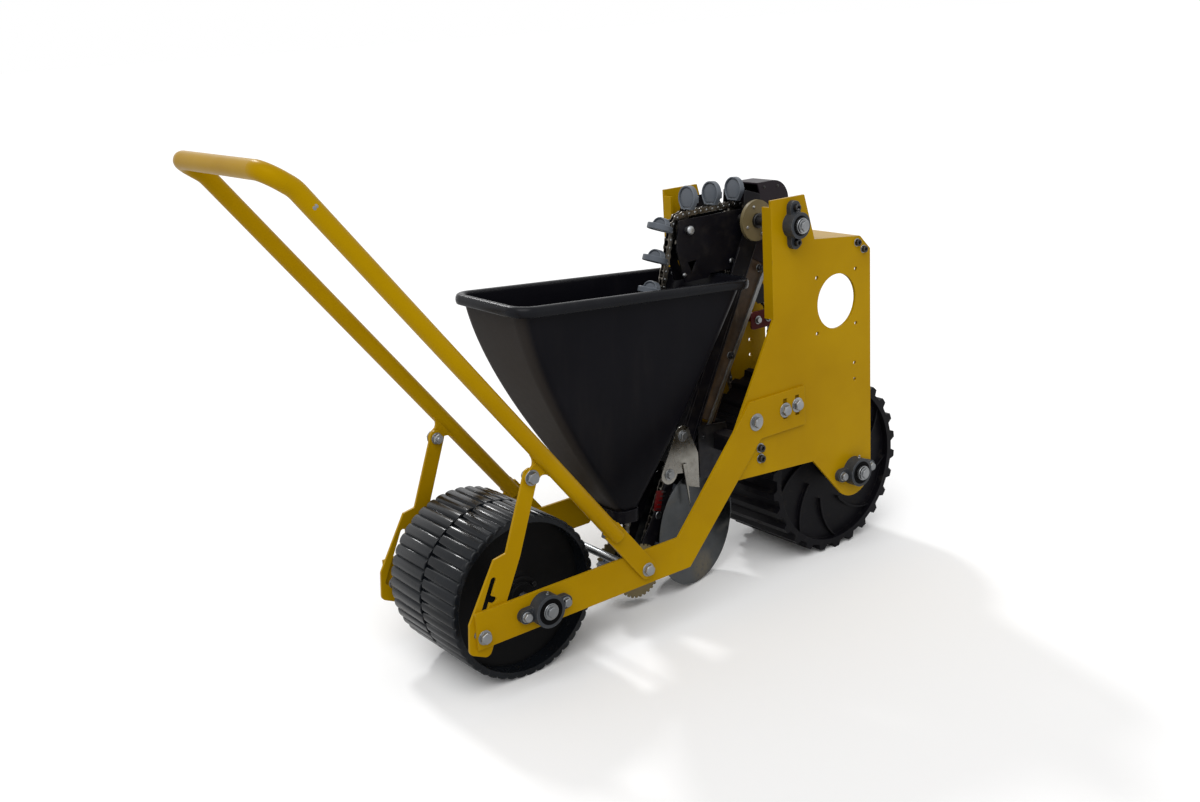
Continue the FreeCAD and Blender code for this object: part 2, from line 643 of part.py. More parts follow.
def vane(start):
    """A curved rib on the left side wall, sweeping from the hub side to the shell."""
    inner = size.vane_inner
    outer = size.drive_radius - size.drive_lug_depth - size.drive_shell + 1
    wall = size.drive_width / 2 - size.drive_web_inset
    edge = []
    for offset in (-size.vane_width / 2, size.vane_width / 2):
        points = []
        for step in (0, 0.5, 1):
            reach = inner + (outer - inner) * step
            angle = math.radians(start + size.vane_sweep * step) + offset / reach
            points.append(Vector(reach * math.cos(angle), wall - 1, reach * math.sin(angle)))
        edge.append(points)
    left, right = edge
    wire = Part.Wire([
        Part.Arc(*left).toShape(), Part.LineSegment(left[2], right[2]).toShape(),
        Part.Arc(*right).toShape(), Part.LineSegment(right[0], left[0]).toShape(),
    ])
    return Part.Face(wire).extrude(Vector(0, size.vane_height + 1, 0))


def drive_wheel():
    half = size.drive_width / 2
    root = size.drive_radius - size.drive_lug_depth
    shell = root - size.drive_shell
    wall = half - size.drive_web_inset
    hub = half - size.drive_hub_inset
    lugs = toothed_ring(size.drive_radius, root, size.drive_lug_count, size.drive_lug_share,
                        size.rib_slope, -half, half, shell)
    side = [
        (size.axle_radius, wall - size.drive_web), (shell + 1, wall - size.drive_web),
        (shell + 1, wall), (size.drive_hub_radius, wall), (size.drive_hub_radius, hub),
        (size.axle_radius, hub),
    ]
    wheel = ring_section(side)
    vanes = [vane(index * 360 / size.vane_count) for index in range(int(size.vane_count))]
    left = wheel.fuse(vanes)
    feature("drive_drum", lugs.fuse(both_sides(left)), "Sizes.wheelbase", "0", "Sizes.drive_radius")


def axle(label, radius, half_length, station, height):
    body = doc.addObject("Part::Cylinder", label)
    body.setExpression("Radius", radius)
    body.setExpression("Height", f"2 * ({half_length})")
    keep(body, label, station, half_length, height)
    body.Placement.Rotation = Rotation(Vector(1, 0, 0), 90)


def bearings(label, seat, station, height, spacing, radius, upright=False):
    """A two-bolt flanged housing on either side, seated at this distance from the middle."""
    depth = size.bearing_height
    ear = size.bearing_ear
    flange = size.bearing_flange
    shape = rod(radius, seat, seat + depth)
    shape = shape.fuse([rod(ear, seat, seat + flange, way * spacing / 2) for way in (-1, 1)])
    shape = shape.fuse(box(-spacing / 2, spacing / 2, seat, seat + flange, -ear, ear))
    shape = shape.cut(rod(size.axle_radius + size.running_gap, seat - 1, seat + depth + 1))
    if upright:
        shape.rotate(Vector(0, 0, 0), Vector(0, 1, 0), 90)
    feature(label, both_sides(shape), station, "0", height)


# ---------------------------------------------------------------- handle and struts

def handle():
    half = size.tube_half_width
    foot = Vector(size.handle_bolt_station, 0, size.handle_bolt_height)
    knee = Vector(-size.grip_knee_back, 0, size.grip_knee_height)
    grip = Vector(-size.grip_back, 0, size.grip_height)
    run = (knee - foot).normalize()
    rise = Vector(-run.z, 0, run.x)
    start = foot + run * (size.lap_length - size.tube_radius)
    middle_line = [(start, 0), (knee, size.knee_bend), (grip, size.grip_corner)]
    right = [(Vector(point.x, -half, point.z), bend) for point, bend in middle_line]
    left = [(Vector(point.x, half, point.z), bend) for point, bend in reversed(middle_line)]
    path = Part.Wire(rounded_edges(right + left, closed=False))

    def swept(radius):
        ring = Part.Wire(Part.makeCircle(radius, right[0][0], run))
        return path.makePipeShell([ring], True, True)

    seat = size.plate_half_inside + size.plate_thickness + size.arm_thickness
    end = size.lap_width / 2
    lap = slab((foot.x, foot.z), (start.x + run.x * end, start.z + run.z * end), size.lap_width,
               seat, seat + size.lap_thickness)
    lap = lap.fuse(rod(end, seat, seat + size.lap_thickness, foot.x, foot.z))
    top = Vector(size.strut_top_station, 0, size.strut_top_height)
    nearest = foot + run * (top - foot).dot(run)
    tab = slab((top.x, top.z), (nearest.x, nearest.z), size.tab_width, seat - size.arm_thickness, seat)
    tab = tab.fuse(rod(size.tab_width / 2, seat - size.arm_thickness, seat, top.x, top.z))
    tab = tab.cut(rod(size.strut_bolt_radius, 0, 2 * seat, top.x, top.z))
    outside = swept(size.tube_radius)
    solid = outside.fuse(both_sides(lap) + both_sides(tab))
    feature("handle", solid.cut(swept(size.tube_radius - size.tube_wall)))


def struts():
    top = Vector(size.strut_top_station, 0, size.strut_top_height)
    foot = Vector(size.strut_foot_station, 0, size.strut_foot_height)
    along = foot - top
    length = along.Length
    along.normalize()
    ahead = Vector(-along.z, 0, along.x)
    outer = size.plate_half_inside + size.plate_thickness - size.fit_gap
    inner = outer - size.strut_thickness

    def at(down, out):
        point = top + along * down + ahead * out
        return (point.x, point.z)

    def bent(down, out, radius):
        return at(down, out) + (radius,)

    head = size.strut_head
    shoulder = size.strut_shoulder
    tail = length + size.strut_tail
    bend = size.strut_bend
    small = size.small_bend
    round_head = head * NEARLY_ROUND
    shape = flat([
        bent(-head, -head, round_head), bent(-head, head, round_head),
        bent(shoulder, size.strut_front, bend), bent(tail, size.strut_front, bend),
        bent(tail, -head, bend), bent(length - head, -size.strut_rear, bend),
        bent(shoulder + head, -size.strut_rear_top, small), bent(shoulder, -size.strut_waist, small),
    ], inner, outer)
    slot = size.strut_slot
    back = -size.strut_slot_back
    upper = length - 3 * size.strut_step
    cut = slab(at(upper, back), at(length, back), slot, 0, 2 * outer, round_ends=True)
    seats = [slab(at(length - step * size.strut_step, back), at(length - step * size.strut_step, 0),
                  slot, 0, 2 * outer, round_ends=True) for step in range(3)]
    shape = shape.cut([cut] + seats + [rod(size.strut_bolt_radius, 0, 2 * outer, top.x, top.z)])
    feature("struts", both_sides(shape))


# ---------------------------------------------------------------- hopper

def rounded_ring(x0, x1, half, radius, z):
    """A level rounded rectangle, as a wire."""
    corners = [(x0, -half), (x1, -half), (x1, half), (x0, half)]
    return Part.Wire(rounded_edges([(Vector(x, y, z), radius) for x, y in corners]))


def outlet_swing():
    """How far the tilt takes the outlet back; the untilted hopper leans ahead by as much."""
    return size.hopper_depth * math.sin(math.radians(size.hopper_tilt))


def hopper_ring(share, inset):
    """The hopper's section at a share of its depth; its sides bulge on the way down."""
    bulge = math.sin(math.pi * share) * size.hopper_bulge
    sweep = share ** size.hopper_bow
    ahead = outlet_swing() * share
    rear = size.hopper_rim_rear + (size.hopper_outlet_rear - size.hopper_rim_rear) * sweep + ahead
    front = size.hopper_rim_front + (size.hopper_outlet_front - size.hopper_rim_front) * share + ahead
    half = size.hopper_half_width + (size.hopper_outlet_half - size.hopper_half_width) * share
    half += bulge
    corner = size.hopper_corner + (size.outlet_corner - size.hopper_corner) * share
    return rounded_ring(rear + inset, front - inset, half - inset, corner - inset,
                        size.hopper_rim_height - size.hopper_depth * share)


def tilted(shape):
    middle = Vector((size.hopper_rim_rear + size.hopper_rim_front) / 2, 0, size.hopper_rim_height)
    shape.rotate(middle, Vector(0, 1, 0), size.hopper_tilt)
    return shape


def hopper():
    shares = [0, 0.2, 0.4, 0.6, 0.8, 1]
    wall = size.hopper_wall
    lip = size.hopper_lip
    top = size.hopper_rim_height
    outer = Part.makeLoft([hopper_ring(share, 0) for share in shares], True, False)
    inner = Part.makeLoft([hopper_ring(share, wall) for share in shares], True, False)
    rim = Part.Face(rounded_ring(size.hopper_rim_rear - lip, size.hopper_rim_front + lip,
                                 size.hopper_half_width + lip, size.hopper_corner + lip,
                                 top - size.hopper_lip_drop))
    rim = rim.extrude(Vector(0, 0, size.hopper_lip_drop))
    shape = outer.fuse(rim).cut(inner)
    low = top - size.hopper_depth
    half = size.cup_width / 2 + size.hopper_wall
    behind = size.hopper_outlet_front + outlet_swing() - size.outlet_corner
    slot = box(behind, size.hopper_rim_front, -half, half, low - 1, low + size.hopper_slot)
    feature("hopper", tilted(shape.cut(slot)))


def collar():
    low = size.hopper_rim_height - size.hopper_depth
    gap = size.fit_gap
    wall = size.collar_wall
    foot = low - size.collar_height
    rear = size.hopper_outlet_rear + outlet_swing()
    front = size.hopper_outlet_front + outlet_swing()
    half = size.hopper_outlet_half
    corner = size.outlet_corner
    outer = Part.Face(rounded_ring(rear - gap - wall, front + gap, half + gap + wall, corner, foot))
    inner = Part.Face(rounded_ring(rear + wall, front + half, half - wall, corner - wall, foot))
    shape = outer.cut(inner).extrude(Vector(0, 0, size.collar_height - gap))
    feature("hopper_collar", tilted(shape))


# ---------------------------------------------------------------- elevator

def tangent(first, second, grow):
    """Ends of the outer common tangent of two circles (x, z, r), run clockwise from the right."""
    x0, z0, r0 = first
    x1, z1, r1 = second
    span = math.hypot(x1 - x0, z1 - z0)
    lean = math.asin((r1 - r0) / span)
    normal = math.atan2(z1 - z0, x1 - x0) + math.pi / 2 + lean
    away = Vector(math.cos(normal), 0, math.sin(normal))
    return Vector(x0, 0, z0) + away * (r0 + grow), Vector(x1, 0, z1) + away * (r1 + grow)


def loop_wire(circles, grow):
    """A closed belt line round circles (x, z, r), clockwise seen from the right side."""
    count = len(circles)
    tangents = [tangent(circles[index], circles[(index + 1) % count], grow) for index in range(count)]
    edges = []
    for index in range(count):
        start, end = tangents[index]
        edges.append(Part.LineSegment(start, end).toShape())
        x1, z1, r1 = circles[(index + 1) % count]
        onward = tangents[(index + 1) % count][0]
        centre = Vector(x1, 0, z1)
        way = (end - centre) + (onward - centre)
        if way.Length < r1:
            way = end - start
        way.normalize()
        edges.append(Part.Arc(end, centre + way * (r1 + grow), onward).toShape())
    return Part.Wire(edges)


def belt(circles, height, low, high):
    outer = Part.Face(loop_wire(circles, height / 2)).extrude(Vector(0, high - low, 0))
    inner = Part.Face(loop_wire(circles, -height / 2)).extrude(Vector(0, high - low, 0))
    shape = outer.cut(inner)
    shape.translate(Vector(0, low, 0))
    return shape


def elevator_circles():
    return [
        (size.idler_station, size.idler_height, size.sprocket_radius),
        (size.top_shaft_station, size.top_shaft_height, size.sprocket_radius),
        (size.foot_station, size.foot_height, size.foot_radius),
    ]


def elevator_chain():
    """Two rows of link plates with the rollers between them, as one fixed loop."""
    circles = elevator_circles()
    half = size.chain_width / 2
    roller = size.chain_roller_width / 2
    plates = belt(circles, size.chain_height, roller, half)
    rollers = belt(circles, size.chain_roller, -roller, roller)
    feature("elevator_chain", rollers.fuse(both_sides(plates)))


def teardrop(reach, wide, narrow, low, high):
    """A tray seen flat: wide round end out, narrow round end at the chain. Thickness along X."""
    far = reach - wide
    near = size.chain_height / 2 + size.cup_seat
    lean = math.acos((wide - narrow) / (far - near))
    points = []
    for centre, radius in ((far, wide), (near, narrow)):
        points.append((centre + radius * math.cos(lean), radius * math.sin(lean)))
    tips = [Vector(low, points[1][1], points[1][0]), Vector(low, points[0][1], points[0][0]),
            Vector(low, 0, reach), Vector(low, -points[0][1], points[0][0]),
            Vector(low, -points[1][1], points[1][0])]
    wire = Part.Wire([
        Part.LineSegment(tips[0], tips[1]).toShape(), Part.Arc(tips[1], tips[2], tips[3]).toShape(),
        Part.LineSegment(tips[3], tips[4]).toShape(), Part.LineSegment(tips[4], tips[0]).toShape(),
    ])
    return Part.Face(wire).extrude(Vector(high - low, 0, 0))


def seed_cup():
    """One cup: X is its way of travel, Z points out from the chain."""
    wide = size.cup_width / 2
    narrow = size.cup_neck / 2
    wall = size.cup_wall
    half = size.cup_tray / 2
    tray = teardrop(size.cup_reach, wide, narrow, -half, half)
    recess = teardrop(size.cup_reach - wall, wide - wall, narrow - wall, -half - 1,
                      size.cup_hollow - half)
    broad = size.cup_back_width / 2
    squeeze = size.cup_back_height / broad
    back = Part.makeCylinder(broad, size.cup_back_depth, Vector(half, 0, size.cup_back_out), Vector(0, 0, 1))
    flatten = FreeCAD.Matrix(squeeze, 0, 0, half * (1 - squeeze))
    back = back.transformGeometry(flatten)
    back = back.common(Part.makeBox(4 * wide, 4 * wide, 4 * wide, Vector(half, -2 * wide, 0)))
    inner = size.chain_width / 2 + size.cup_wall
    foot = Part.makeBox(size.cup_tray, 2 * inner, narrow,
                        Vector(-half, -inner, size.chain_height / 2 + size.fit_gap))
    below = Part.makeBox(4 * wide, 4 * wide, 4 * wide,
                         Vector(-2 * wide, -2 * wide, size.chain_height / 2 + size.fit_gap - 4 * wide))
    cup = Part.makeCompound([tray.cut(recess).fuse([back, foot])])
    cup.rotate(Vector(0, 0, size.chain_height / 2), Vector(0, 1, 0), size.cup_lean)
    return cup.Solids[0].cut(below)


def seed_cups():
    line = loop_wire(elevator_circles(), 0)
    cup = seed_cup()
    cups = []
    for index in range(int(size.cup_count)):
        point, way = point_on(line, size.cup_first + line.Length * index / size.cup_count)
        out = Vector(-way.z, 0, way.x)
        turn = Rotation(way, Vector(0, 1, 0), out, "ZXY")
        copy = cup.copy()
        copy.Placement = Placement(point, turn)
        cups.append(copy)
    feature("seed_cups", cups)


def point_on(wire, distance):
    """The point and the direction at a distance along a wire of lines and arcs."""
    for edge in wire.OrderedEdges:
        if distance <= edge.Length:
            backward = edge.Orientation == "Reversed"
            at = edge.getParameterByLength(edge.Length - distance if backward else distance)
            way = edge.tangentAt(at)
            return edge.valueAt(at), way * -1 if backward else way
        distance -= edge.Length
    raise ValueError("the distance is longer than the wire")


def sprocket(radius, bore, width):
    """A plain sprocket under a chain: rim under the rollers and a hub."""
    half = width / 2
    rim = rod(radius - size.chain_height / 2 - size.fit_gap, -half, half)
    return rim.cut(rod(bore + size.running_gap, -half - 1, half + 1))


def foot_sprocket():
    """Narrow wheel under the chain between two toothed side discs that flank the cups."""
    inner = size.chute_half + size.fit_gap * 2
    outer = inner + size.chute_sheet
    disc = toothed_ring(size.foot_flange, size.foot_flange - size.foot_tooth, size.foot_teeth,
                        size.tooth_share, size.tooth_slope, inner, outer, size.axle_radius + size.running_gap)
    half = size.chute_half - size.chute_sheet - size.fit_gap
    rim = rod(size.foot_radius - size.chain_height / 2 - size.fit_gap, -half, half)
    rim = rim.cut(rod(size.axle_radius + size.running_gap, -outer, outer))
    feature("foot_sprocket", [rim] + both_sides(disc), "Sizes.foot_station", "0", "Sizes.foot_height")


# ---------------------------------------------------------------- chute

def falling(down, out):
    """A point (x, z) beside the chain's falling run: down along it and out ahead of it."""
    circles = elevator_circles()
    start, end = tangent(circles[1], circles[2], 0)
    along = (end - start).normalize()
    ahead = Vector(-along.z, 0, along.x)
    point = start + along * down + ahead * out
    return (point.x, point.z)


def chute():
    half = size.chute_half
    inside = half - size.chute_sheet
    centre = (size.foot_station, size.foot_height)
    shaft = Vector(size.top_shaft_station, 0, size.top_shaft_height)
    strap = shaft.z + size.strap_rise
    round_foot = size.boot_round
    bend = size.small_bend
    cheek = flat([
        falling(size.chute_rear_top, -size.chute_rear), (shaft.x, strap, bend),
        (shaft.x + size.strap_width, strap - size.strap_fall, bend),
        falling(0, size.chute_front),
        falling(size.chute_end, size.chute_front), (size.boot_front, size.boot_height),
        (centre[0] + round_foot, centre[1]), (centre[0], centre[1] - round_foot, round_foot / 2),
        (centre[0] - round_foot, centre[1]),
        falling(size.chute_foot, -size.chute_rear),
    ], inside, half)
    bores = [rod(size.axle_radius + size.running_gap, 0, 2 * half, centre[0], centre[1]),
             rod(size.top_shaft_radius + size.running_gap, 0, 2 * half, shaft.x, shaft.z)]
    cheek = cheek.cut(bores)
    web = flat([
        falling(size.chute_web_start, -size.chute_rear),
        falling(size.chute_web_start, -size.chute_rear + size.chute_sheet),
        falling(size.chute_end, -size.chute_rear + size.chute_sheet),
        falling(size.chute_end, -size.chute_rear),
    ], -inside - 1, inside + 1)
    feature("chute_channel", web.fuse(both_sides(cheek)))


def cover():
    half = size.chute_half - size.chute_sheet - size.fit_gap
    sheet = size.chute_sheet / 2
    front = flat([
        falling(size.cover_start, size.cover_depth), falling(size.cover_start, size.cover_depth + sheet),
        falling(size.cover_end, size.cover_depth + sheet), falling(size.cover_end, size.cover_depth),
    ], -half, half)
    side = flat([
        falling(size.cover_start, size.chute_front - size.cover_lap),
        falling(size.cover_start, size.cover_depth + sheet),
        falling(size.cover_end, size.cover_depth + sheet),
        falling(size.cover_end, size.chute_front - size.cover_lap),
    ], half - sheet, half)
    feature("chute_cover", front.fuse(both_sides(side)))


def rails():
    low = size.chute_half + size.fit_gap
    bar = slab((size.rail_top_station, size.rail_top_height),
               (size.rail_foot_station, size.rail_foot_height), size.rail_width,
               low, low + size.rail_thickness, round_ends=True)
    feature("chute_rails", both_sides(bar))


def hood():
    """Sheet over the top sprocket, open to the rear where the cups come in."""
    shaft = Vector(size.top_shaft_station, 0, size.top_shaft_height)
    half = size.chute_half
    sheet = size.chute_sheet

    def line(inset):
        join = falling(size.cover_start - size.fit_gap, size.cover_depth + sheet - inset)
        front = shaft.x + size.hood_front - inset
        top = shaft.z + size.hood_top - inset
        bend = size.hood_round - inset
        return [(shaft.x + size.hood_mouth, top), (front, top, bend),
                (front, shaft.z - size.hood_sill), join]

    back = [falling(size.cover_start - size.fit_gap, size.chute_front + size.fit_gap),
            falling(0, size.chute_front + size.fit_gap),
            (shaft.x + size.strap_width + size.fit_gap, shaft.z + size.strap_rise - size.strap_fall)]
    cheek = flat(line(0) + back, half - sheet, half)
    outer = line(0)
    inner = line(sheet)
    wall = flat(outer + inner[::-1], -half + sheet / 2, half - sheet / 2)
    feature("hood", wall.fuse(both_sides(cheek)))


def head_bracket():
    """Two plates inside the chain's loop, hung on the top shaft, that carry the idler."""
    x = size.idler_station
    z = size.idler_height
    low = size.head_half - size.head_plate
    eye = size.head_eye
    bend = size.small_bend
    shaft = (size.top_shaft_station, size.top_shaft_height)
    plate = flat([
        (x - size.head_rear, z + size.head_top, bend),
        (x - size.head_hip, z - size.head_hip_drop, 3 * bend),
        (x - size.head_foot, z - size.head_drop, bend), (x + size.head_step, z - size.head_drop, bend / 2),
        (x + size.head_step + size.head_slope, z - size.head_belly, bend / 2),
        (x + size.head_front - size.head_foot, z - size.head_belly, bend),
        (x + size.head_front, z - size.head_hip_drop, 2 * bend), (shaft[0] + eye, shaft[1] - eye, bend),
        (shaft[0] + eye, shaft[1] + eye / 2, bend), (shaft[0] + eye / 4, shaft[1] + size.head_brow, bend),
    ], low, size.head_half)
    middle = z - size.head_window_drop
    ahead = x + size.head_window_ahead
    window = flat([
        (ahead - size.head_window, middle + size.head_window, bend / 2),
        (ahead + size.head_window, middle + size.head_window, bend / 2),
        (ahead, middle - size.head_window, bend / 2),
    ], 0, 2 * low)
    bores = [rod(size.idler_axle_radius + size.running_gap, 0, 2 * low, x, z),
             rod(size.top_shaft_radius + size.running_gap, 0, 2 * low, *shaft)]
    feature("head_bracket", both_sides(plate.cut([window] + bores)))


def chain_wheels():
    """Top sprocket and idler, a pair of plain wheels under the elevator chain."""
    wheel = sprocket(size.sprocket_radius, size.top_shaft_radius, size.chain_roller_width)
    top = wheel.copy()
    top.translate(Vector(size.top_shaft_station, 0, size.top_shaft_height))
    idler = sprocket(size.sprocket_radius, size.idler_axle_radius, size.chain_roller_width)
    idler.translate(Vector(size.idler_station, 0, size.idler_height))
    feature("elevator_sprockets", [top, idler])


def top_disc():
    low = size.top_disc_out
    high = low + size.top_disc_depth
    hub = size.top_disc_hub
    shape = rod(size.top_disc_radius, low, high).fuse(rod(hub, size.chute_half + 1, low))
    shape = shape.cut(rod(size.top_shaft_radius + size.running_gap, 0, 2 * high))
    feature("top_disc", mirrored(shape), "Sizes.top_shaft_station", "0", "Sizes.top_shaft_height")


# ---------------------------------------------------------------- drive to the top shaft

def drive_circles():
    return [
        (size.top_shaft_station, size.top_shaft_height, size.top_pinion_radius),
        (size.tension_station, size.tension_height, size.tension_radius + size.drive_chain_height / 2),
        (size.wheelbase, size.drive_radius, size.axle_pinion_radius),
    ]


def drive_line():
    out = size.drive_chain_out
    half = size.drive_chain_width / 2
    feature("drive_chain", belt(drive_circles(), size.drive_chain_height, out - half, out + half))
    pinions = []
    for station, height, radius in (drive_circles()[0], drive_circles()[2]):
        wheel = rod(radius - size.drive_chain_height / 2 - size.fit_gap, out - half, out + half)
        wheel = wheel.cut(rod(size.axle_radius + size.running_gap, out - 2 * half, out + 2 * half))
        wheel.translate(Vector(station, 0, height))
        pinions.append(wheel)
    feature("drive_sprockets", pinions)


def tensioner():
    out = size.tension_plate_out
    sheet = size.tension_plate_sheet
    bend = size.small_bend
    x = size.tension_station
    z = size.tension_height
    rear = x - size.tension_plate_back
    half = size.tension_plate_height / 2
    plate = flat([
        (rear, z + half, 2 * bend), (x, z + half, 3 * bend), (x + size.tension_plate_front, z, 2 * bend),
        (x, z - half, 3 * bend), (rear, z - half, 2 * bend),
    ], out, out + sheet)
    stay = rod(size.idler_axle_radius, out + sheet - 1, size.plate_half_inside - size.fit_gap,
               rear + half, z)
    feature("tension_plate", plate.fuse(stay))
    low = out + sheet + size.fit_gap
    high = size.drive_chain_out + size.drive_chain_width
    roller = rod(size.tension_radius - size.fit_gap, low, high)
    feature("tension_roller", roller, "Sizes.tension_station", "0", "Sizes.tension_height")


def chain_guard():
    x = size.top_shaft_station
    z = size.top_shaft_height
    low = size.guard_out
    rise = size.guard_rise
    bend = size.guard_bend
    shape = flat([
        (x - rise, z + rise, bend), (x + rise, z + rise, bend),
        (size.tension_station, size.tension_height + rise),
        (size.tension_station - rise, size.tension_height + rise), (x - rise, z - rise, bend),
    ], low, low + size.chute_sheet)
    shape = shape.cut(rod(size.top_shaft_radius + size.running_gap, 0, 2 * low, x, z))
    feature("chain_guard", shape)


# ---------------------------------------------------------------- opener

def disc_axis(sign):
    turn = math.radians(size.disc_angle)
    return Vector(sign * math.sin(turn), math.cos(turn), 0)


def disc_middle(sign):
    ahead = size.disc_stagger if sign > 0 else 0
    return Vector(size.disc_station + ahead, sign * size.disc_half_gap, size.disc_height)


def opener_disc(side, sign):
    """A dished disc with its hub, turned in at the front."""
    half = size.disc_thickness / 2
    edge = size.disc_edge / 2
    hub = size.disc_hub
    profile = ring_section([
        (size.axle_radius + size.running_gap, -size.disc_hub_in), (hub, -size.disc_hub_in),
        (hub, -half), (size.disc_radius, -edge), (size.disc_radius, edge), (hub, half),
        (hub, size.disc_hub_out), (size.axle_radius + size.running_gap, size.disc_hub_out),
    ])
    if sign < 0:
        profile = mirrored(profile)
    profile.rotate(Vector(0, 0, 0), Vector(0, 0, 1), -sign * size.disc_angle)
    middle = disc_middle(sign)
    profile.translate(middle)
    feature(f"opener_disc_{side}", profile)


def hanger():
    """Bar down from the cross tube between the discs, with their stub axles."""
    half = size.hanger_thickness / 2
    under = size.cross_height - size.cross_tube / 2
    bar = slab((size.disc_station + size.disc_stagger / 2, size.disc_height),
               (size.cross_station, under + size.hanger_lap), size.hanger_width, -half, half)
    bar = bar.fuse(rod(size.hanger_width / 2, -half, half,
                       size.disc_station + size.disc_stagger / 2, size.disc_height))
    clear = size.cross_tube / 2 + size.fit_gap
    bar = bar.cut(box(size.cross_station - clear, size.cross_station + clear, -2 * half, 2 * half,
                      size.cross_height - clear, size.cross_height + clear))
    stubs = []
    for _, sign in SIDES:
        axis = disc_axis(sign) * sign
        middle = disc_middle(sign)
        inner = size.disc_half_gap / math.cos(math.radians(size.disc_angle))
        length = inner + size.disc_hub_out + size.axle_end
        stub = Part.makeCylinder(size.axle_radius, length, middle - axis * inner, axis)
        stubs.append(stub)
    feature("disc_hanger", bar.fuse(stubs))


def carriers():
    """Bright plates outside the discs, bolted to the channel, with a scraper point each."""
    low = size.carrier_out
    high = low + size.carrier_sheet
    top = (size.carrier_top_station, size.carrier_top_height)
    bottom = (size.carrier_low_station, size.carrier_low_height)
    around = size.carrier_round
    plate = slab(top, bottom, 2 * around, low, high, round_ends=True)
    rear = size.carrier_leg_rear
    bend = size.small_bend
    leg = flat([
        (top[0] - around, top[1]), (top[0] + around, top[1], 2 * bend),
        (size.carrier_leg_front, size.carrier_leg_top, 2 * bend),
        (size.carrier_leg_front, size.carrier_leg_foot),
        (rear, size.carrier_leg_foot + around / 2), (top[0], size.carrier_notch, bend),
        (bottom[0], bottom[1]),
    ], low, high)
    point = flat([
        (top[0] - size.scraper_width, size.carrier_notch + around),
        (top[0] + size.scraper_width, size.carrier_notch + around),
        (top[0] + around / 2, size.scraper_foot),
    ], high, high + size.carrier_sheet)
    spacers = [rod(size.idler_axle_radius, size.chute_half + size.fit_gap, low, x, z)
               for x, z in (top, bottom)]
    shape = plate.fuse([leg, point] + spacers)
    feature("disc_carriers", both_sides(shape))


def cross_bracket():
    """Folded sheet round the cross tube, outside the channel."""
    low = size.bracket_out
    high = low + size.bracket_sheet
    rear = size.bracket_rear
    front = size.bracket_front
    bend = size.small_bend
    half = size.cross_tube / 2
    side = flat([
        (rear, size.bracket_top, bend), (front, size.bracket_front_top, bend),
        (front, size.cross_height - half), (size.bracket_toe, size.bracket_foot, bend),
        (rear, size.bracket_foot + half, bend),
    ], low, high)
    clear = size.cross_tube / 2 + size.fit_gap
    gap = box(size.cross_station - clear, size.cross_station + clear, 0, 2 * high,
              size.cross_height - clear, size.cross_height + clear)
    feature("cross_bracket", both_sides(side.cut(gap)))


def lever():
    low = size.chute_half + size.fit_gap
    x = size.lever_station
    z = size.lever_height
    shape = slab((x, z), (x - size.lever_length / 4, z - size.lever_length), size.lever_width,
                 low, low + size.bracket_sheet)
    feature("boot_lever", mirrored(shape))


for side, sign in SIDES:
    side_plate(side, sign)
    arm(side, sign)
    press_drum(side, sign)
    opener_disc(side, sign)
PLATE_OUTER = "Sizes.plate_half_inside + Sizes.plate_thickness"
ARM_OUTER = f"{PLATE_OUTER} + Sizes.arm_thickness"
plate_seat = size.plate_half_inside + size.plate_thickness
drive_wheel()
deck_plate()
cross_tube()
axle("press_axle", "Sizes.axle_radius", f"{ARM_OUTER} + Sizes.bearing_height + Sizes.axle_end",
     "0", "Sizes.press_radius")
axle("drive_axle", "Sizes.axle_radius", f"{PLATE_OUTER} + Sizes.bearing_height + Sizes.axle_end",
     "Sizes.wheelbase", "Sizes.drive_radius")
axle("top_shaft", "Sizes.top_shaft_radius", f"{PLATE_OUTER} + Sizes.bearing_height + Sizes.axle_end",
     "Sizes.top_shaft_station", "Sizes.top_shaft_height")
axle("tie_rod", "Sizes.tie_rod_radius", f"{PLATE_OUTER} - Sizes.strut_thickness",
     "Sizes.tie_rod_station", "Sizes.tie_rod_height")
axle("idler_axle", "Sizes.idler_axle_radius", "Sizes.idler_axle_half",
     "Sizes.idler_station", "Sizes.idler_height")
axle("foot_axle", "Sizes.axle_radius", "Sizes.chute_half + Sizes.axle_end",
     "Sizes.foot_station", "Sizes.foot_height")
bearings("press_bearings", plate_seat + size.arm_thickness, "0", "Sizes.press_radius",
         size.bearing_spacing, size.bearing_radius)
bearings("drive_bearings", plate_seat, "Sizes.wheelbase", "Sizes.drive_radius",
         size.bearing_spacing, size.bearing_radius)
bearings("top_bearings", plate_seat, "Sizes.top_shaft_station", "Sizes.top_shaft_height",
         size.top_bearing_spacing, size.top_bearing_radius, upright=True)
handle()
struts()
hopper()
collar()
elevator_chain()
seed_cups()
chain_wheels()
foot_sprocket()
chute()
cover()
rails()
hood()
head_bracket()
top_disc()
drive_line()
tensioner()
chain_guard()
hanger()
carriers()
cross_bracket()
lever()

doc.recompute()
for item in doc.Objects:
    if "Invalid" in item.State or "Error" in item.State:
        raise RuntimeError(f"{item.Label} did not build: {item.State}")
os.makedirs("parts", exist_ok=True)
for item in parts:
    shape = item.Shape
    if shape.isNull() or not shape.isValid():
        raise RuntimeError(f"{item.Label} is not a valid shape")
    shape.exportStep(f"parts/{item.Label}.step")
around = FreeCAD.BoundBox()
for item in parts:
    around.add(item.Shape.BoundBox)
print(len(parts), "sub-parts, box", around)
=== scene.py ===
import math
import random

import bmesh
import bpy
from mathutils import Matrix, Vector


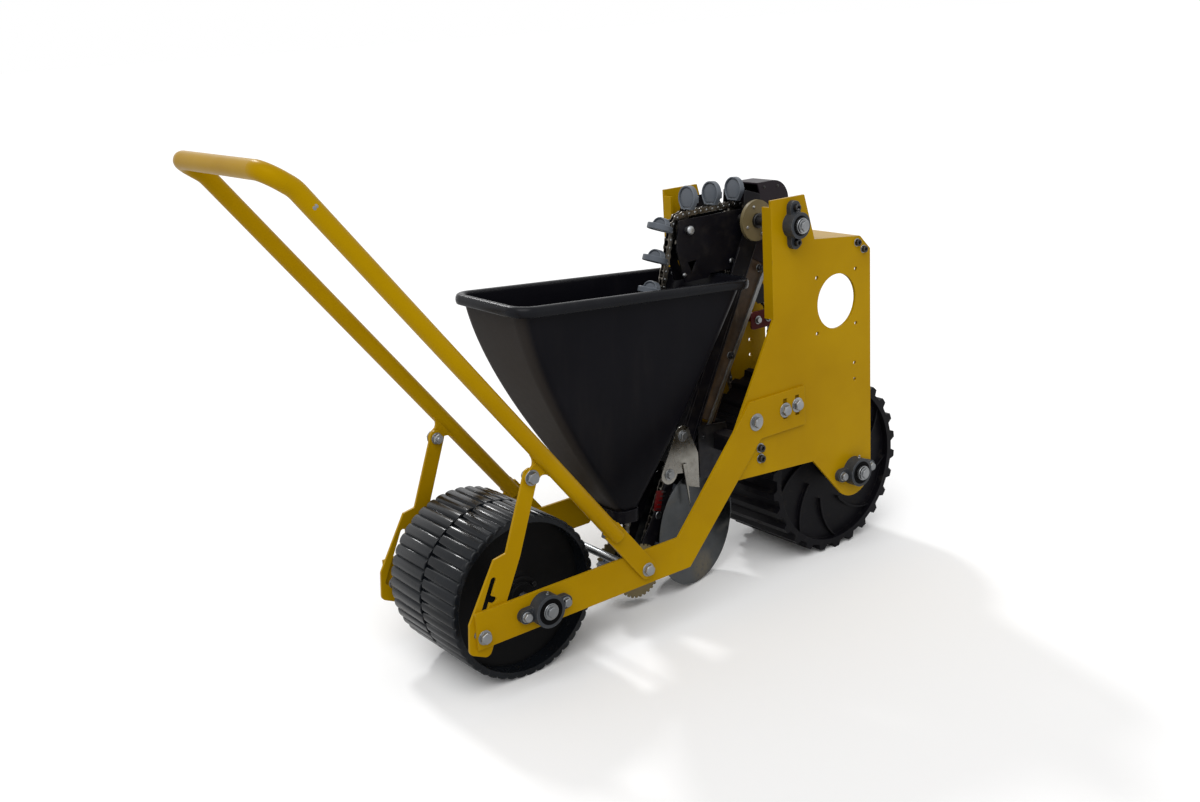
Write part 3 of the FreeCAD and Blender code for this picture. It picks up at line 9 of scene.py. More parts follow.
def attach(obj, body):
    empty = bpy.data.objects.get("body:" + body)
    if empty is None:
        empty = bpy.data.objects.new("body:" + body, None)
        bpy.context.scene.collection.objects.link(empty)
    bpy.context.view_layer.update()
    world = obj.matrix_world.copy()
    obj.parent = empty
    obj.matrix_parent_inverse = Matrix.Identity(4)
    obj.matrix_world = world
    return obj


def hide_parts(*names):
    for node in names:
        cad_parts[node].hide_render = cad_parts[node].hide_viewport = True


# Walk-behind garlic planter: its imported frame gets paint, rubber, plastic and metal
# finishes, and the fastenings, chains and mouldings that the frame leaves plain.
# Metres; +X is the direction of travel, +Y the left side, +Z up.

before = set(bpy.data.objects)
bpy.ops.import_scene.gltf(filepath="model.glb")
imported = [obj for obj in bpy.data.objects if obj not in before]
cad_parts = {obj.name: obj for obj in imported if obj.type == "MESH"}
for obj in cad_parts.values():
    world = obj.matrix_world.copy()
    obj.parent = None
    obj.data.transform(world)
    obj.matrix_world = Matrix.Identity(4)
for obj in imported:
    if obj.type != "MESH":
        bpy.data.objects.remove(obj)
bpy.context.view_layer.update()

MM = 0.001
REAR_AXLE = -304.5 * MM
FRAME_BODY = "frame"
SIDES = {"right": -1, "left": 1}


def station(along, across, height):
    """A point from millimetres ahead of the press wheel's axle."""
    return Vector((REAR_AXLE + along * MM, across * MM, height * MM))


# ---------------------------------------------------------------- finishes

MIX_SHARE, MIX_FIRST, MIX_SECOND, MIX_COLOUR = 0, 6, 7, 2    # a colour Mix node's sockets
EDGE_CONTRAST = 4    # how fast an edge's mask comes in, for rubbed edges, painted highlights and coat
BEVEL_SAMPLES = 4


class Value:
    """One socket of a node tree, with arithmetic that adds Math nodes."""

    def __init__(self, shading, socket):
        self.shading = shading
        self.socket = socket

    def __add__(self, other):
        return self.shading.math("ADD", self, other)

    def __radd__(self, other):
        return self.shading.math("ADD", other, self)

    def __sub__(self, other):
        return self.shading.math("SUBTRACT", self, other)

    def __rsub__(self, other):
        return self.shading.math("SUBTRACT", other, self)

    def __mul__(self, other):
        return self.shading.math("MULTIPLY", self, other)

    def __rmul__(self, other):
        return self.shading.math("MULTIPLY", other, self)

    def larger(self, other):
        return self.shading.math("MAXIMUM", self, other)

    def clipped(self):
        """Held between 0 and 1."""
        return self.shading.math("ADD", self, 0, clamp=True)

    def between(self, low, high):
        """0 below low, 1 above high, smooth in between."""
        settings = {"interpolation_type": "SMOOTHSTEP"}
        inputs = {"Value": self, "From Min": low, "From Max": high}
        return self.shading.node("MapRange", settings, inputs)


class Shading:
    """A node tree of its own, empty at first."""

    def __init__(self, tree):
        self.tree = tree
        self.tree.nodes.clear()

    def feed(self, socket, value):
        """Links a socket, or sets it; a colour gets its alpha."""
        if isinstance(value, Value):
            self.tree.links.new(value.socket, socket)
        elif isinstance(value, (tuple, list)) and socket.type == "RGBA":
            socket.default_value = (*value, 1)
        else:
            socket.default_value = value

    def node(self, kind, settings=None, inputs=None, output=0):
        """Adds a node: its settings first, then the values or links of its sockets."""
        made = self.tree.nodes.new("ShaderNode" + kind)
        for name, value in (settings or {}).items():
            setattr(made, name, value)
        for name, value in (inputs or {}).items():
            self.feed(made.inputs[name], value)
        return Value(self, made.outputs[output])

    def math(self, operation, first, second, clamp=False):
        settings = {"operation": operation, "use_clamp": clamp}
        return self.node("Math", settings, {0: first, 1: second})


class Finish(Shading):
    """A material with one Principled shader."""

    def __init__(self, name, **fixed):
        self.material = bpy.data.materials.new(name)
        self.material.use_nodes = True
        super().__init__(self.material.node_tree)
        self.shader = self.tree.nodes.new("ShaderNodeBsdfPrincipled")
        output = self.tree.nodes.new("ShaderNodeOutputMaterial")
        self.tree.links.new(self.shader.outputs[0], output.inputs[0])
        self.surface(**fixed)

    def surface(self, **sockets):
        """Sets or links the shader's sockets, named with _ for a space."""
        for name, value in sockets.items():
            self.feed(self.shader.inputs[name.replace("_", " ")], value)

    def vector_math(self, operation, first, second):
        """The number that comes from two vectors."""
        return self.node("VectorMath", {"operation": operation}, {0: first, 1: second}, "Value")

    def place(self, axis=None):
        """The point on the piece, as a vector or as its X, Y or Z."""
        point = self.node("TexCoord", output="Object")
        if axis is None:
            return point
        return self.node("SeparateXYZ", inputs={0: point}, output=axis)

    def noise(self, scale, detail=3, rough=0.55, stretch=(1, 1, 1), shift=0.0):
        """Cloudy variation from 0 to 1; scale is cells per metre."""
        moved = {"Vector": self.place(), "Scale": stretch, "Location": (shift, shift, shift)}
        inputs = {"Vector": self.node("Mapping", inputs=moved), "Scale": scale,
                  "Detail": detail, "Roughness": rough}
        return self.node("TexNoise", inputs=inputs)

    def mix(self, share, first, second):
        """A colour between two colours."""
        inputs = {MIX_SHARE: share, MIX_FIRST: first, MIX_SECOND: second}
        return self.node("Mix", {"data_type": "RGBA"}, inputs, MIX_COLOUR)

    def rounded(self, radius):
        """The surface direction with sharp edges eased."""
        return self.node("Bevel", {"samples": BEVEL_SAMPLES}, {"Radius": radius})

    def edges(self, radius):
        """1 on a sharp edge, 0 on a flat."""
        eased = self.rounded(radius)
        flat = self.node("NewGeometry", output="Normal")
        alike = self.vector_math("DOT_PRODUCT", eased, flat)
        return ((1 - alike) * EDGE_CONTRAST).clipped()

    def bump(self, height, depth, normal, strength):
        """The surface direction normal, tipped by a height that is depth metres at 1."""
        inputs = {"Height": height, "Distance": depth, "Strength": strength, "Normal": normal}
        return self.node("Bump", inputs=inputs)

    def facing(self, axis):
        """How far the surface faces along X, Y or Z, from -1 to 1."""
        flat = self.node("NewGeometry", output="Normal")
        return self.node("SeparateXYZ", inputs={0: flat}, output=axis)


def yellow_enamel():
    """Gloss yellow over steel plate: soft mottling, dust below, a few chipped edges, and edges painted
    lighter as a highlight.
    """
    paint = Finish("yellow_enamel", Specular_IOR_Level=0.1, Specular_Tint=(1.0, 0.7, 0.05))
    cloud = paint.noise(3.2, 4)
    fine = paint.noise(46, 3, shift=3.1)
    colour = paint.mix(cloud.between(0.3, 0.7), (0.365, 0.203, 0.0008), (0.435, 0.254, 0.0012))
    edge = paint.edges(0.0016)
    chip = edge * paint.noise(95, 3, shift=8.0).between(0.56, 0.66)
    # painted highlight: every edge is lightened towards pale yellow, as if sunlight caught it
    colour = paint.mix(edge * 0.4, colour, (0.6, 0.43, 0.05))
    low = 1 - paint.place("Z").between(0.02, 0.42)
    dust = (low * 0.55 + 0.08) * paint.noise(17, 5, 0.62, shift=5.0).between(0.42, 0.75)
    colour = paint.mix(dust * 0.12, colour, (0.15, 0.10, 0.035))
    colour = paint.mix(chip * 0.75, colour, (0.075, 0.06, 0.045))
    peel = paint.noise(620, 2)
    runs = paint.noise(9, 2, shift=1.0)
    normal = paint.bump(peel, 0.00006, paint.rounded(0.0009), 0.35)
    normal = paint.bump(runs, 0.0007, normal, 0.25)
    paint.surface(
        Base_Color=colour, Normal=normal,
        Roughness=(fine * 0.14 + 0.24 + dust * 0.3 + chip * 0.25).clipped())
    return paint


def black_rubber(name, tone, rough, dusty, shine):
    """Moulded black rubber with dusty patches in its hollows, and edges painted lighter as a highlight."""
    rubber = Finish(name, Specular_IOR_Level=shine)
    cloud = rubber.noise(14, 4)
    colour = rubber.mix(cloud.between(0.3, 0.75), tone, tuple(1.6 * part for part in tone))
    soil = rubber.noise(55, 5, 0.65, shift=2.0).between(0.52, 0.78) * dusty
    colour = rubber.mix(soil * 0.5, colour, (0.06, 0.052, 0.042))
    edge = rubber.edges(0.0014)
    # painted highlight: the edges are lightened to a cool grey
    colour = rubber.mix(edge * 0.3, colour, (0.03, 0.032, 0.035))
    grain = rubber.noise(900, 2)
    normal = rubber.bump(grain, 0.00008, rubber.rounded(0.0012), 0.15)
    normal = rubber.bump(rubber.noise(26, 3, shift=4.0), 0.0006, normal, 0.15)
    rubber.surface(
        Base_Color=colour, Normal=normal,
        Roughness=(cloud * 0.2 + rough + soil * 0.6).clipped())
    return rubber


def moulded(name, dark, light, rough, pebble, dusty, shine=0.3, dust=(0.12, 0.11, 0.1), edge_highlight_tone=None):
    """Moulded plastic: fine pebble, slow waviness, a little dust that lies on its upper side, and, where a
    tone is given, edges painted lighter as a highlight.
    """
    plastic = Finish(name, Specular_IOR_Level=shine)
    cloud = plastic.noise(6, 4)
    colour = plastic.mix(cloud.between(0.25, 0.8), dark, light)
    film = plastic.noise(31, 5, 0.62, shift=6.0).between(0.45, 0.8)
    lies = (plastic.facing("Z").between(-0.3, 0.9) * 0.7 + 0.3) * film * dusty
    colour = plastic.mix(lies, colour, dust)
    # painted highlight: the edges are lightened towards the given tone
    if edge_highlight_tone:
        colour = plastic.mix(plastic.edges(0.0014) * 0.6, colour, edge_highlight_tone)
    normal = plastic.bump(plastic.noise(pebble, 2), 0.0001, plastic.rounded(0.0011), 0.3)
    normal = plastic.bump(plastic.noise(11, 2, shift=2.0), 0.0012, normal, 0.22)
    plastic.surface(
        Base_Color=colour, Normal=normal,
        Roughness=(plastic.noise(60, 4) * 0.12 + rough + lies * 0.5).clipped())
    return plastic


def hopper_moulding():
    """Black satin hopper: faint runs down its walls; its rear outside lightened, partly by dust and partly
    as a painted sheen.
    """
    plastic = Finish("hopper_moulding", Specular_IOR_Level=0.06)
    cloud = plastic.noise(4, 4)
    colour = plastic.mix(cloud.between(0.25, 0.8), (0.0034, 0.0034, 0.0052), (0.0064, 0.0062, 0.0086))
    runs = plastic.noise(26, 5, 0.6, stretch=(1, 1, 0.12)).between(0.45, 0.8)
    rearward = (0 - plastic.facing("X")).between(0.35, 0.85)
    low = 1 - plastic.place("Z").between(0.25, 0.95) * 0.5
    outside = 1 - plastic.facing("Z").between(-0.06, 0.0)
    # partly dust and partly painted sheen: outside walls facing rearwards are lightened and warmed, more
    # towards the bottom
    rear_dust_and_sheen = rearward * low * outside * 0.22
    bloom_and_sheen = runs * plastic.noise(3, 2, shift=4.0).between(0.35, 0.7) * 0.03 + rear_dust_and_sheen
    colour = plastic.mix(bloom_and_sheen, colour, (0.15, 0.125, 0.10))
    pebble = plastic.noise(380, 2)
    normal = plastic.bump(pebble, 0.0001, plastic.rounded(0.0055), 0.3)
    normal = plastic.bump(plastic.noise(9, 2, shift=2.0), 0.002, normal, 0.25)
    plastic.surface(
        Base_Color=colour, Normal=normal,
        Roughness=(plastic.noise(70, 4) * 0.1 + 0.26 + bloom_and_sheen * 0.9).clipped(),
        Coat_Weight=plastic.edges(0.007) * plastic.noise(12, 3, shift=9.0).between(0.2, 0.6),
        Coat_Roughness=0.3)
    return plastic


def painted(name, colour, rough, edge_tone, scuffs_and_highlights, dusty, shine):
    """Thin paint with edges lightened, partly rubbed bare and partly as a painted highlight."""
    paint = Finish(name, Specular_IOR_Level=shine)
    cloud = paint.noise(20, 4)
    tone = paint.mix(cloud.between(0.3, 0.75), colour, tuple(min(1, 1.55 * c) for c in colour))
    # partly painted highlight: the edges are lightened towards the edge tone, some by rubbing and some as if
    # catching the light
    edge_rub_and_highlight = paint.edges(0.0012) * paint.noise(70, 3, shift=2.0).between(0.42, 0.6) * scuffs_and_highlights
    film = paint.noise(34, 5, 0.62, shift=5.0).between(0.45, 0.8) * dusty
    tone = paint.mix(film, tone, (0.13, 0.11, 0.085))
    tone = paint.mix(edge_rub_and_highlight, tone, edge_tone)
    normal = paint.bump(paint.noise(520, 2), 0.00007, paint.rounded(0.0008), 0.4)
    paint.surface(
        Base_Color=tone, Normal=normal, Coat_Weight=paint.edges(0.002) * 0.7, Coat_Roughness=0.22,
        Roughness=(cloud * 0.16 + rough + film * 0.4).clipped())
    return paint


def metal(name, dark, light, rough, soil, brush=(1, 1, 1)):
    """Bare or plated metal, brushed along one axis where brush shrinks it."""
    steel = Finish(name, Metallic=1.0)
    cloud = steel.noise(18, 4)
    colour = steel.mix(cloud.between(0.25, 0.8), dark, light)
    film = steel.noise(48, 5, 0.65, shift=7.0).between(0.5, 0.8) * soil
    colour = steel.mix(film, colour, (0.10, 0.075, 0.05))
    hair = steel.noise(300, 3, stretch=brush)
    normal = steel.bump(hair, 0.00005, steel.rounded(0.0006), 0.35)
    steel.surface(
        Base_Color=colour, Normal=normal, Metallic=(1 - film * 0.8).clipped(),
        Roughness=(cloud * 0.14 + hair * 0.08 + rough + film * 0.6).clipped())
    return steel


SOIL_SPOT = (0.222, -0.042, 0.034)    # low on the right disc


def disc_plate():
    """Bright opener disc with smears and one caked patch of soil."""
    steel = Finish("disc_plate", Metallic=1.0)
    cloud = steel.noise(9, 5)
    colour = steel.mix(cloud.between(0.3, 0.75), (0.065, 0.07, 0.074), (0.13, 0.137, 0.142))
    smear = steel.noise(16, 6, 0.68, stretch=(1, 1, 2.2), shift=1.0).between(0.5, 0.72)
    colour = steel.mix(smear * 0.35, colour, (0.10, 0.085, 0.06))
    spot = steel.vector_math("DISTANCE", steel.place(), SOIL_SPOT)
    caked = (1 - spot.between(0.018, 0.05)) * steel.noise(120, 5, 0.7, shift=3.0).between(0.34, 0.48)
    colour = steel.mix(caked * 0.75, colour, (0.17, 0.145, 0.10))
    smear = (smear + caked).clipped()
    hair = steel.noise(420, 4, stretch=(1, 1, 0.25))
    normal = steel.bump(hair, 0.00005, steel.rounded(0.0006), 0.4)
    steel.surface(
        Base_Color=colour, Normal=normal, Metallic=(1 - smear * 0.45).clipped(),
        Roughness=(cloud * 0.18 + hair * 0.06 + 0.2 + smear * 0.25).clipped())
    return steel


def soiled_sheet():
    """Brown painted sheet with pale scuffs and rust."""
    sheet = Finish("soiled_sheet", IOR=1.45)
    cloud = sheet.noise(13, 6, 0.65)
    colour = sheet.mix(cloud.between(0.35, 0.7), (0.028, 0.017, 0.010), (0.105, 0.062, 0.03))
    scuff = sheet.noise(60, 6, 0.7, stretch=(1, 1, 0.3), shift=3.0).between(0.55, 0.75)
    colour = sheet.mix(scuff * 0.4, colour, (0.24, 0.19, 0.14))
    normal = sheet.bump(cloud, 0.0008, sheet.rounded(0.0008), 0.5)
    sheet.surface(Base_Color=colour, Normal=normal, Roughness=(0.45 + scuff * 0.3).clipped())
    return sheet


FINISHES = {
    "yellow_paint": yellow_enamel(),
    "press_rubber": black_rubber("press_tread", (0.0045, 0.0056, 0.0074), 0.12, dusty=0.22, shine=0.2),
    "seal_rubber": black_rubber("seal_rubber", (0.0016, 0.0016, 0.0018), 0.5, dusty=0.1, shine=0.04),
    "drum_core": black_rubber("drum_core", (0.0028, 0.0028, 0.003), 0.45, dusty=0.1, shine=0.1),
    "drive_rubber": black_rubber("drive_tread", (0.0032, 0.0030, 0.0042), 0.34, dusty=0.45, shine=0.1),
    "hopper_plastic": hopper_moulding(),
    "rim_moulding": moulded("rim_moulding", (0.0036, 0.004, 0.006), (0.0064, 0.007, 0.0094), 0.2,
                            pebble=380, dusty=0.04, shine=0.13),
    "cast_housing": painted("cast_housing", (0.026, 0.029, 0.034), 0.38,
                            edge_tone=(0.2, 0.2, 0.2), scuffs_and_highlights=0.8, dusty=0.15, shine=0.25),
    "disc_steel": disc_plate(),
    "cup_plastic": moulded("cup_moulding", (0.085, 0.098, 0.118), (0.115, 0.13, 0.152), 0.3,
                           pebble=500, dusty=0.12, edge_highlight_tone=(0.25, 0.28, 0.31)),
    "cream_plastic": moulded("cream_moulding", (0.13, 0.102, 0.045), (0.2, 0.16, 0.08), 0.42,
                             pebble=300, dusty=0.45, dust=(0.13, 0.1, 0.06)),
    "chain_steel": metal("oiled_chain", (0.06, 0.054, 0.046), (0.27, 0.25, 0.22), 0.2, soil=0.35),
    "black_paint": painted("black_enamel", (0.0036, 0.0034, 0.0052), 0.3,
                           edge_tone=(0.06, 0.06, 0.065), scuffs_and_highlights=0.5, dusty=0.1, shine=0.12),
    "hood_plastic": moulded("hood_moulding", (0.0095, 0.0058, 0.0095), (0.0175, 0.0115, 0.0175), 0.33,
                            pebble=380, dusty=0.06, shine=0.16),
    "brown_sheet": soiled_sheet(),
    "red_paint": painted("red_enamel", (0.075, 0.002, 0.0025), 0.35,
                         edge_tone=(0.12, 0.06, 0.05), scuffs_and_highlights=0.5, dusty=0.06, shine=0.1),
    "grey_sheet": metal("mill_sheet", (0.03, 0.03, 0.034), (0.075, 0.075, 0.08), 0.35, soil=0.4),
    "stainless": metal("stainless_sheet", (0.22, 0.21, 0.19), (0.42, 0.41, 0.37), 0.16,
                       soil=0.3, brush=(1, 1, 0.15)),
    "bright_steel": metal("zinc_plate", (0.22, 0.23, 0.24), (0.42, 0.43, 0.44), 0.26, soil=0.15),
    "black_steel": painted("blacked_steel", (0.004, 0.004, 0.005), 0.3,
                           edge_tone=(0.05, 0.05, 0.05), scuffs_and_highlights=0.6, dusty=0.1, shine=0.4),
}


def finish_frame():
    """Gives each frame piece the finish of its slot; the top shaft is as dull as the grey sheet."""
    for name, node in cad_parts.items():
        for held in node.material_slots:
            slot = held.material.name.split(".")[0]
            held.material = FINISHES["grey_sheet" if name == "top_shaft" else slot].material


finish_frame()


# ---------------------------------------------------------------- mesh pieces

EASE_STEPS = 2    # facets of an eased edge


class Piece:
    """Small forms of one finish gathered into one mesh that rides on one body."""

    def __init__(self, name, finish, body=FRAME_BODY, slot=None):
        self.name = name
        self.finish = finish
        self.body = body
        self.slot = slot or finish
        self.mesh = bmesh.new()

    def skinned(self, rows, place, joined=False):
        """Skins closed rows of points in millimetres, with both ends capped or joined."""
        count = len(rows[0])
        corners = [self.mesh.verts.new(place @ (Vector(point) * MM)) for row in rows for point in row]
        faces = [] if joined else [range(count), range(len(corners) - count, len(corners))]
        for index in range(len(rows) - (0 if joined else 1)):
            low = index * count
            high = (index + 1) % len(rows) * count
            for step in range(count):
                onward = (step + 1) % count
                faces.append((low + step, low + onward, high + onward, high + step))
        for face in faces:
            self.mesh.faces.new([corners[index] for index in face])

    def turned(self, section, place, sides=24, joined=False):
        """Revolves (radius, height) pairs in millimetres about the local Z axis."""
        turns = [2 * math.pi * step / sides for step in range(sides)]
        rows = [[(radius * math.cos(turn), radius * math.sin(turn), height) for turn in turns]
                for radius, height in section]
        self.skinned(rows, place, joined)

    def ring(self, section, place, sides):
        """Revolves a closed section, which leaves the middle open."""
        self.turned(section, place, sides, joined=True)

    def sheet(self, outline, low, high):
        """A side view of (station, height) points in millimetres, between two widths."""
        rows = [[(along, across, height) for along, height in outline] for across in (low, high)]
        self.skinned(rows, Matrix.Translation(station(0, 0, 0)))

    def made(self, *replaced, ease=0.0, sharp=40):
        """Turns the gathered mesh into an object on its body."""
        bmesh.ops.recalc_face_normals(self.mesh, faces=self.mesh.faces)
        data = bpy.data.meshes.new(self.name)
        self.mesh.to_mesh(data)
        self.mesh.free()
        data.materials.append(FINISHES[self.finish].material)
        data.shade_smooth()
        data.set_sharp_from_angle(angle=math.radians(sharp))
        item = bpy.data.objects.new(self.name, data)
        bpy.context.scene.collection.objects.link(item)
        if ease:
            bevel = item.modifiers.new("eased_edges", "BEVEL")
            bevel.width = ease * MM
            bevel.segments = EASE_STEPS
            bevel.angle_limit = math.radians(sharp)
            bevel.harden_normals = True
        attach(item, self.body)
        if replaced:
            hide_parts(*replaced)
        return item


WASHER = 1.6    # the usual washer's thickness, in millimetres
NUT = 11    # a nut's corners, from its middle


def seat(along, across, height, axis=None, spin=0.0):
    """A place on the machine whose local Z points out sideways, or along axis."""
    way = Vector(axis) if axis else Vector((0, 1 if across > 0 else -1, 0))
    turn = way.to_track_quat("Z", "Y").to_matrix().to_4x4()
    return Matrix.Translation(station(along, across, height)) @ turn @ Matrix.Rotation(spin, 4, "Z")


def washer(piece, place, radius, thick=WASHER):
    """A flat washer with eased edges."""
    piece.turned([(radius - 0.4, 0), (radius, 0.4), (radius, thick - 0.4), (radius - 0.4, thick)], place, 28)


def hexagon(piece, place, corner, low, high):
    """A hexagonal head or nut, corner in radius, with its corners turned off."""
    piece.turned([(corner, low), (corner, high - 1.6), (corner * 0.955, high - 0.7), (corner * 0.86, high)],
                 place, 6)
    piece.turned([(corner * 0.84, high), (corner * 0.83, high + 0.35), (corner * 0.4, high + 0.4)], place)


def hex_bolt(piece, place, thread, washer_radius, corner):
    """A hexagon head on its washer, from the surface out."""
    washer(piece, place, washer_radius)
    hexagon(piece, place, corner, WASHER, WASHER + thread * 0.66)


def nut_and_end(piece, place):
    """A nut on its washer, with the bolt's end standing out of it."""
    washer(piece, place, 12)
    top = WASHER + NUT * 0.8
    hexagon(piece, place, NUT, WASHER, top)
    radius = NUT / 2
    end = top + 3.8
    piece.turned([(radius, top), (radius, end - 0.8), (radius - 0.8, end), (0.6, end)], place, 18)


def socket_bolt(piece, place, radius, height):
    """A round head with a hexagonal socket."""
    inner = radius * 0.52
    piece.ring([(inner, 0.2), (radius, 0), (radius, height - 0.8), (radius - 0.8, height),
                (inner + 0.3, height), (inner, height - 0.3)], place, 24)
    piece.turned([(inner, 0.2), (inner, height * 0.45), (0.5, height * 0.4)], place, 6)


# ---------------------------------------------------------------- bolts and bearings

# How far each face stands from the middle of the machine, in millimetres.
PLATE_FACE = 166
PLATE_INSIDE = 160
STRUT_INSIDE = 160.6
ARM_FACE = 172
LAP_FACE = 178
PRESS_EAR = 184
PLATE_EAR = 178
PRESS_HOUSING = 198
PLATE_HOUSING = 192
SHAFT_END = 200
COVER_FACE = 33.2
HEAD_FACE = 18

# Places as millimetres ahead of the press wheel's axle and above the ground.
WHEELBASE = 861
PRESS_HEIGHT = 162.5
DRIVE_HEIGHT = 200
TOP_SHAFT = (682, 778)
IDLER = (531, 776)
FOOT = (340, 82)
TENSIONER = (888, 504)
TUBE_FOOT = Vector((250, 160))
TUBE_KNEE = Vector((-388, 992))
STRUT_TOP = Vector((-1, 420))
STRUT_FOOT = Vector((-131, 148))
DISC_HUBS = {"right": 508, "left": 518}

# Degrees.
DISC_LEAN = 12
CUP_LEAN = 6.5
RIM_TILT = 4.4

# Chains and cups: the sprockets' pitch radii are of the cup chain, then the drive chain above and below.
HEAD_PITCH = 31
SIDE_PITCH = 30
AXLE_PITCH = 36
DRIVE_LINK = 15.875
DRIVE_CHAIN_AT = 130
CUPS = 28
FIRST_CUP = 19    # along the chain's line from the idler

# Half the space between a bearing's bolts, on the wheels and on the top shaft.
WHEEL_BOLTS = 45
TOP_BOLTS = 35.5

# Bolts of the arms: station, height, spin, washer's radius. Of the tubes and struts: place, the face
# it stands on, spin, washer's radius, its corners' radius.
ARM_BOLTS = ((561.5, 387, 0.3, 18.5), (646, 393, 0.1, 16), (682, 396, 0.5, 16))
TUBE_BOLTS = ((STRUT_TOP, ARM_FACE, 0.2, 15, 12), (STRUT_FOOT, ARM_FACE, 0.4, 14, 11.5),
              (TUBE_FOOT, LAP_FACE, 0.15, 14, 11.5))


def frame_bolts():
    """Zinc-plated hexagon bolts of the arms, struts, handle and wheel bearings."""
    bolts = Piece("frame_bolts", "bright_steel")
    for side in SIDES.values():
        for along, height, spin, washer_radius in ARM_BOLTS:
            hex_bolt(bolts, seat(along, side * ARM_FACE, height, spin=spin), 12, washer_radius, 11.5)
        for spot, face, spin, washer_radius, corner in TUBE_BOLTS:
            hex_bolt(bolts, seat(spot.x, side * face, spot.y, spin=spin), 12, washer_radius, corner)
        for way in (-1, 1):
            place = seat(way * WHEEL_BOLTS, side * PRESS_EAR, PRESS_HEIGHT, spin=way * 0.2)
            hex_bolt(bolts, place, 10, 10.5, 9.2)
            place = seat(WHEELBASE + way * WHEEL_BOLTS, side * PLATE_EAR, DRIVE_HEIGHT, spin=0.35)
            hex_bolt(bolts, place, 10, 10.5, 9.2)
        inward = (0, -side, 0)
        for along, height, *_ in ARM_BOLTS:
            nut_and_end(bolts, seat(along, side * PLATE_INSIDE, height, inward, 0.2))
        for spot in (STRUT_TOP, STRUT_FOOT):
            nut_and_end(bolts, seat(spot.x, side * STRUT_INSIDE, spot.y, inward, 0.4))
        nut_and_end(bolts, seat(TUBE_FOOT.x, side * PLATE_FACE, TUBE_FOOT.y, inward, 0.1))
    bolts.made(ease=0.3)


def black_bolts():
    """Blacked socket bolts of the top bearings, the cross tube and the folded top plate."""
    bolts = Piece("black_bolts", "black_steel", slot="chain_steel")
    rings = Piece("bolt_washers", "bright_steel")
    for side in SIDES.values():
        for way in (-1, 1):
            socket_bolt(bolts, seat(TOP_SHAFT[0], side * PLATE_EAR, TOP_SHAFT[1] + way * TOP_BOLTS), 7.5, 9)
        for along, height in ((576, 326), (576, 303)):
            washer(rings, seat(along, side * PLATE_FACE, height), 10.5)
            socket_bolt(bolts, seat(along, side * (PLATE_FACE + WASHER), height), 8, 7.5)
        for along, height in ((878, 711), (898, 694)):
            washer(rings, seat(along, side * PLATE_FACE, height), 8.8, 1.2)
            socket_bolt(bolts, seat(along, side * (PLATE_FACE + 1.2), height), 7.2, 6.8)
    bolts.made()
    rings.made()


def bearing_inserts():
    """Seals, inner rings, set screws and grease nipples of the six flange bearings."""
    screws = Piece("set_screws", "black_steel", slot="chain_steel")
    seals = Piece("bearing_seals", "seal_rubber", slot="cast_housing")
    nipples = Piece("grease_nipples", "bright_steel")
    turning = {body: Piece(f"{body}_inner_rings", "bright_steel", body)
               for body in (FRAME_BODY, "press_wheel", "drive_wheel")}
    places = ((0, PRESS_HEIGHT, PRESS_HOUSING, 32, "press_wheel"),
              (WHEELBASE, DRIVE_HEIGHT, PLATE_HOUSING, 32, "drive_wheel"),
              (*TOP_SHAFT, PLATE_HOUSING, 27, FRAME_BODY))
    for along, height, face, radius, body in places:
        for side in SIDES.values():
            place = seat(along, side * face, height, spin=0.8)
            brim = radius - 6.5
            seals.ring([(16.6, 0.1), (brim, 0.1), (brim, 0.4), (brim - 1.5, 0.8), (18.5, 1.2), (16.6, 1.0)],
                       place, 44)
            ring = turning[body]
            proud = min(6.5, SHAFT_END - face - 0.2)
            ring.ring([(12.2, 0), (16.4, 0), (16.4, proud - 0.8), (15.7, proud), (12.9, proud),
                       (12.2, proud - 0.6)], place, 44)
            washer(ring, seat(along, side * SHAFT_END, height), 14.5, 1.8)
            hexagon(ring, seat(along, side * SHAFT_END, height, spin=0.25), 11, 1.8, 5.4)
            for turn in (0.0, 2.1) if proud > 5 else ():
                away = Vector((math.cos(turn), math.sin(turn), 0))
                spot = place @ Matrix.Translation(away * 16.0 * MM + Vector((0, 0, 3.2 * MM)))
                spot = spot @ away.to_track_quat("Z", "Y").to_matrix().to_4x4()
                socket_bolt(screws, spot, 2.1, 1.2)
            up = seat(along, side * (face - 9), height + radius - 0.5, (0, 0.35 * side, 1))
            nipples.turned([(3.4, -1), (3.4, 2.6), (3.0, 3.0)], up, 6)
            nipples.turned([(2.0, 3), (1.7, 5), (2.3, 6.4), (2.0, 7.6), (0.7, 8.0)], up, 14)
    screws.made()
    seals.made()
    nipples.made()
    for ring in turning.values():
        ring.made(ease=0.2)
    bar = Piece("press_axle_bar", "bright_steel", "press_wheel")
    for side in SIDES.values():
        place = seat(0, 0, PRESS_HEIGHT, (0, side, 0))
        bar.turned([(10, 0), (10, SHAFT_END - 1.4), (9.0, SHAFT_END - 0.1)], place, 40)
    bar.made("press_axle")


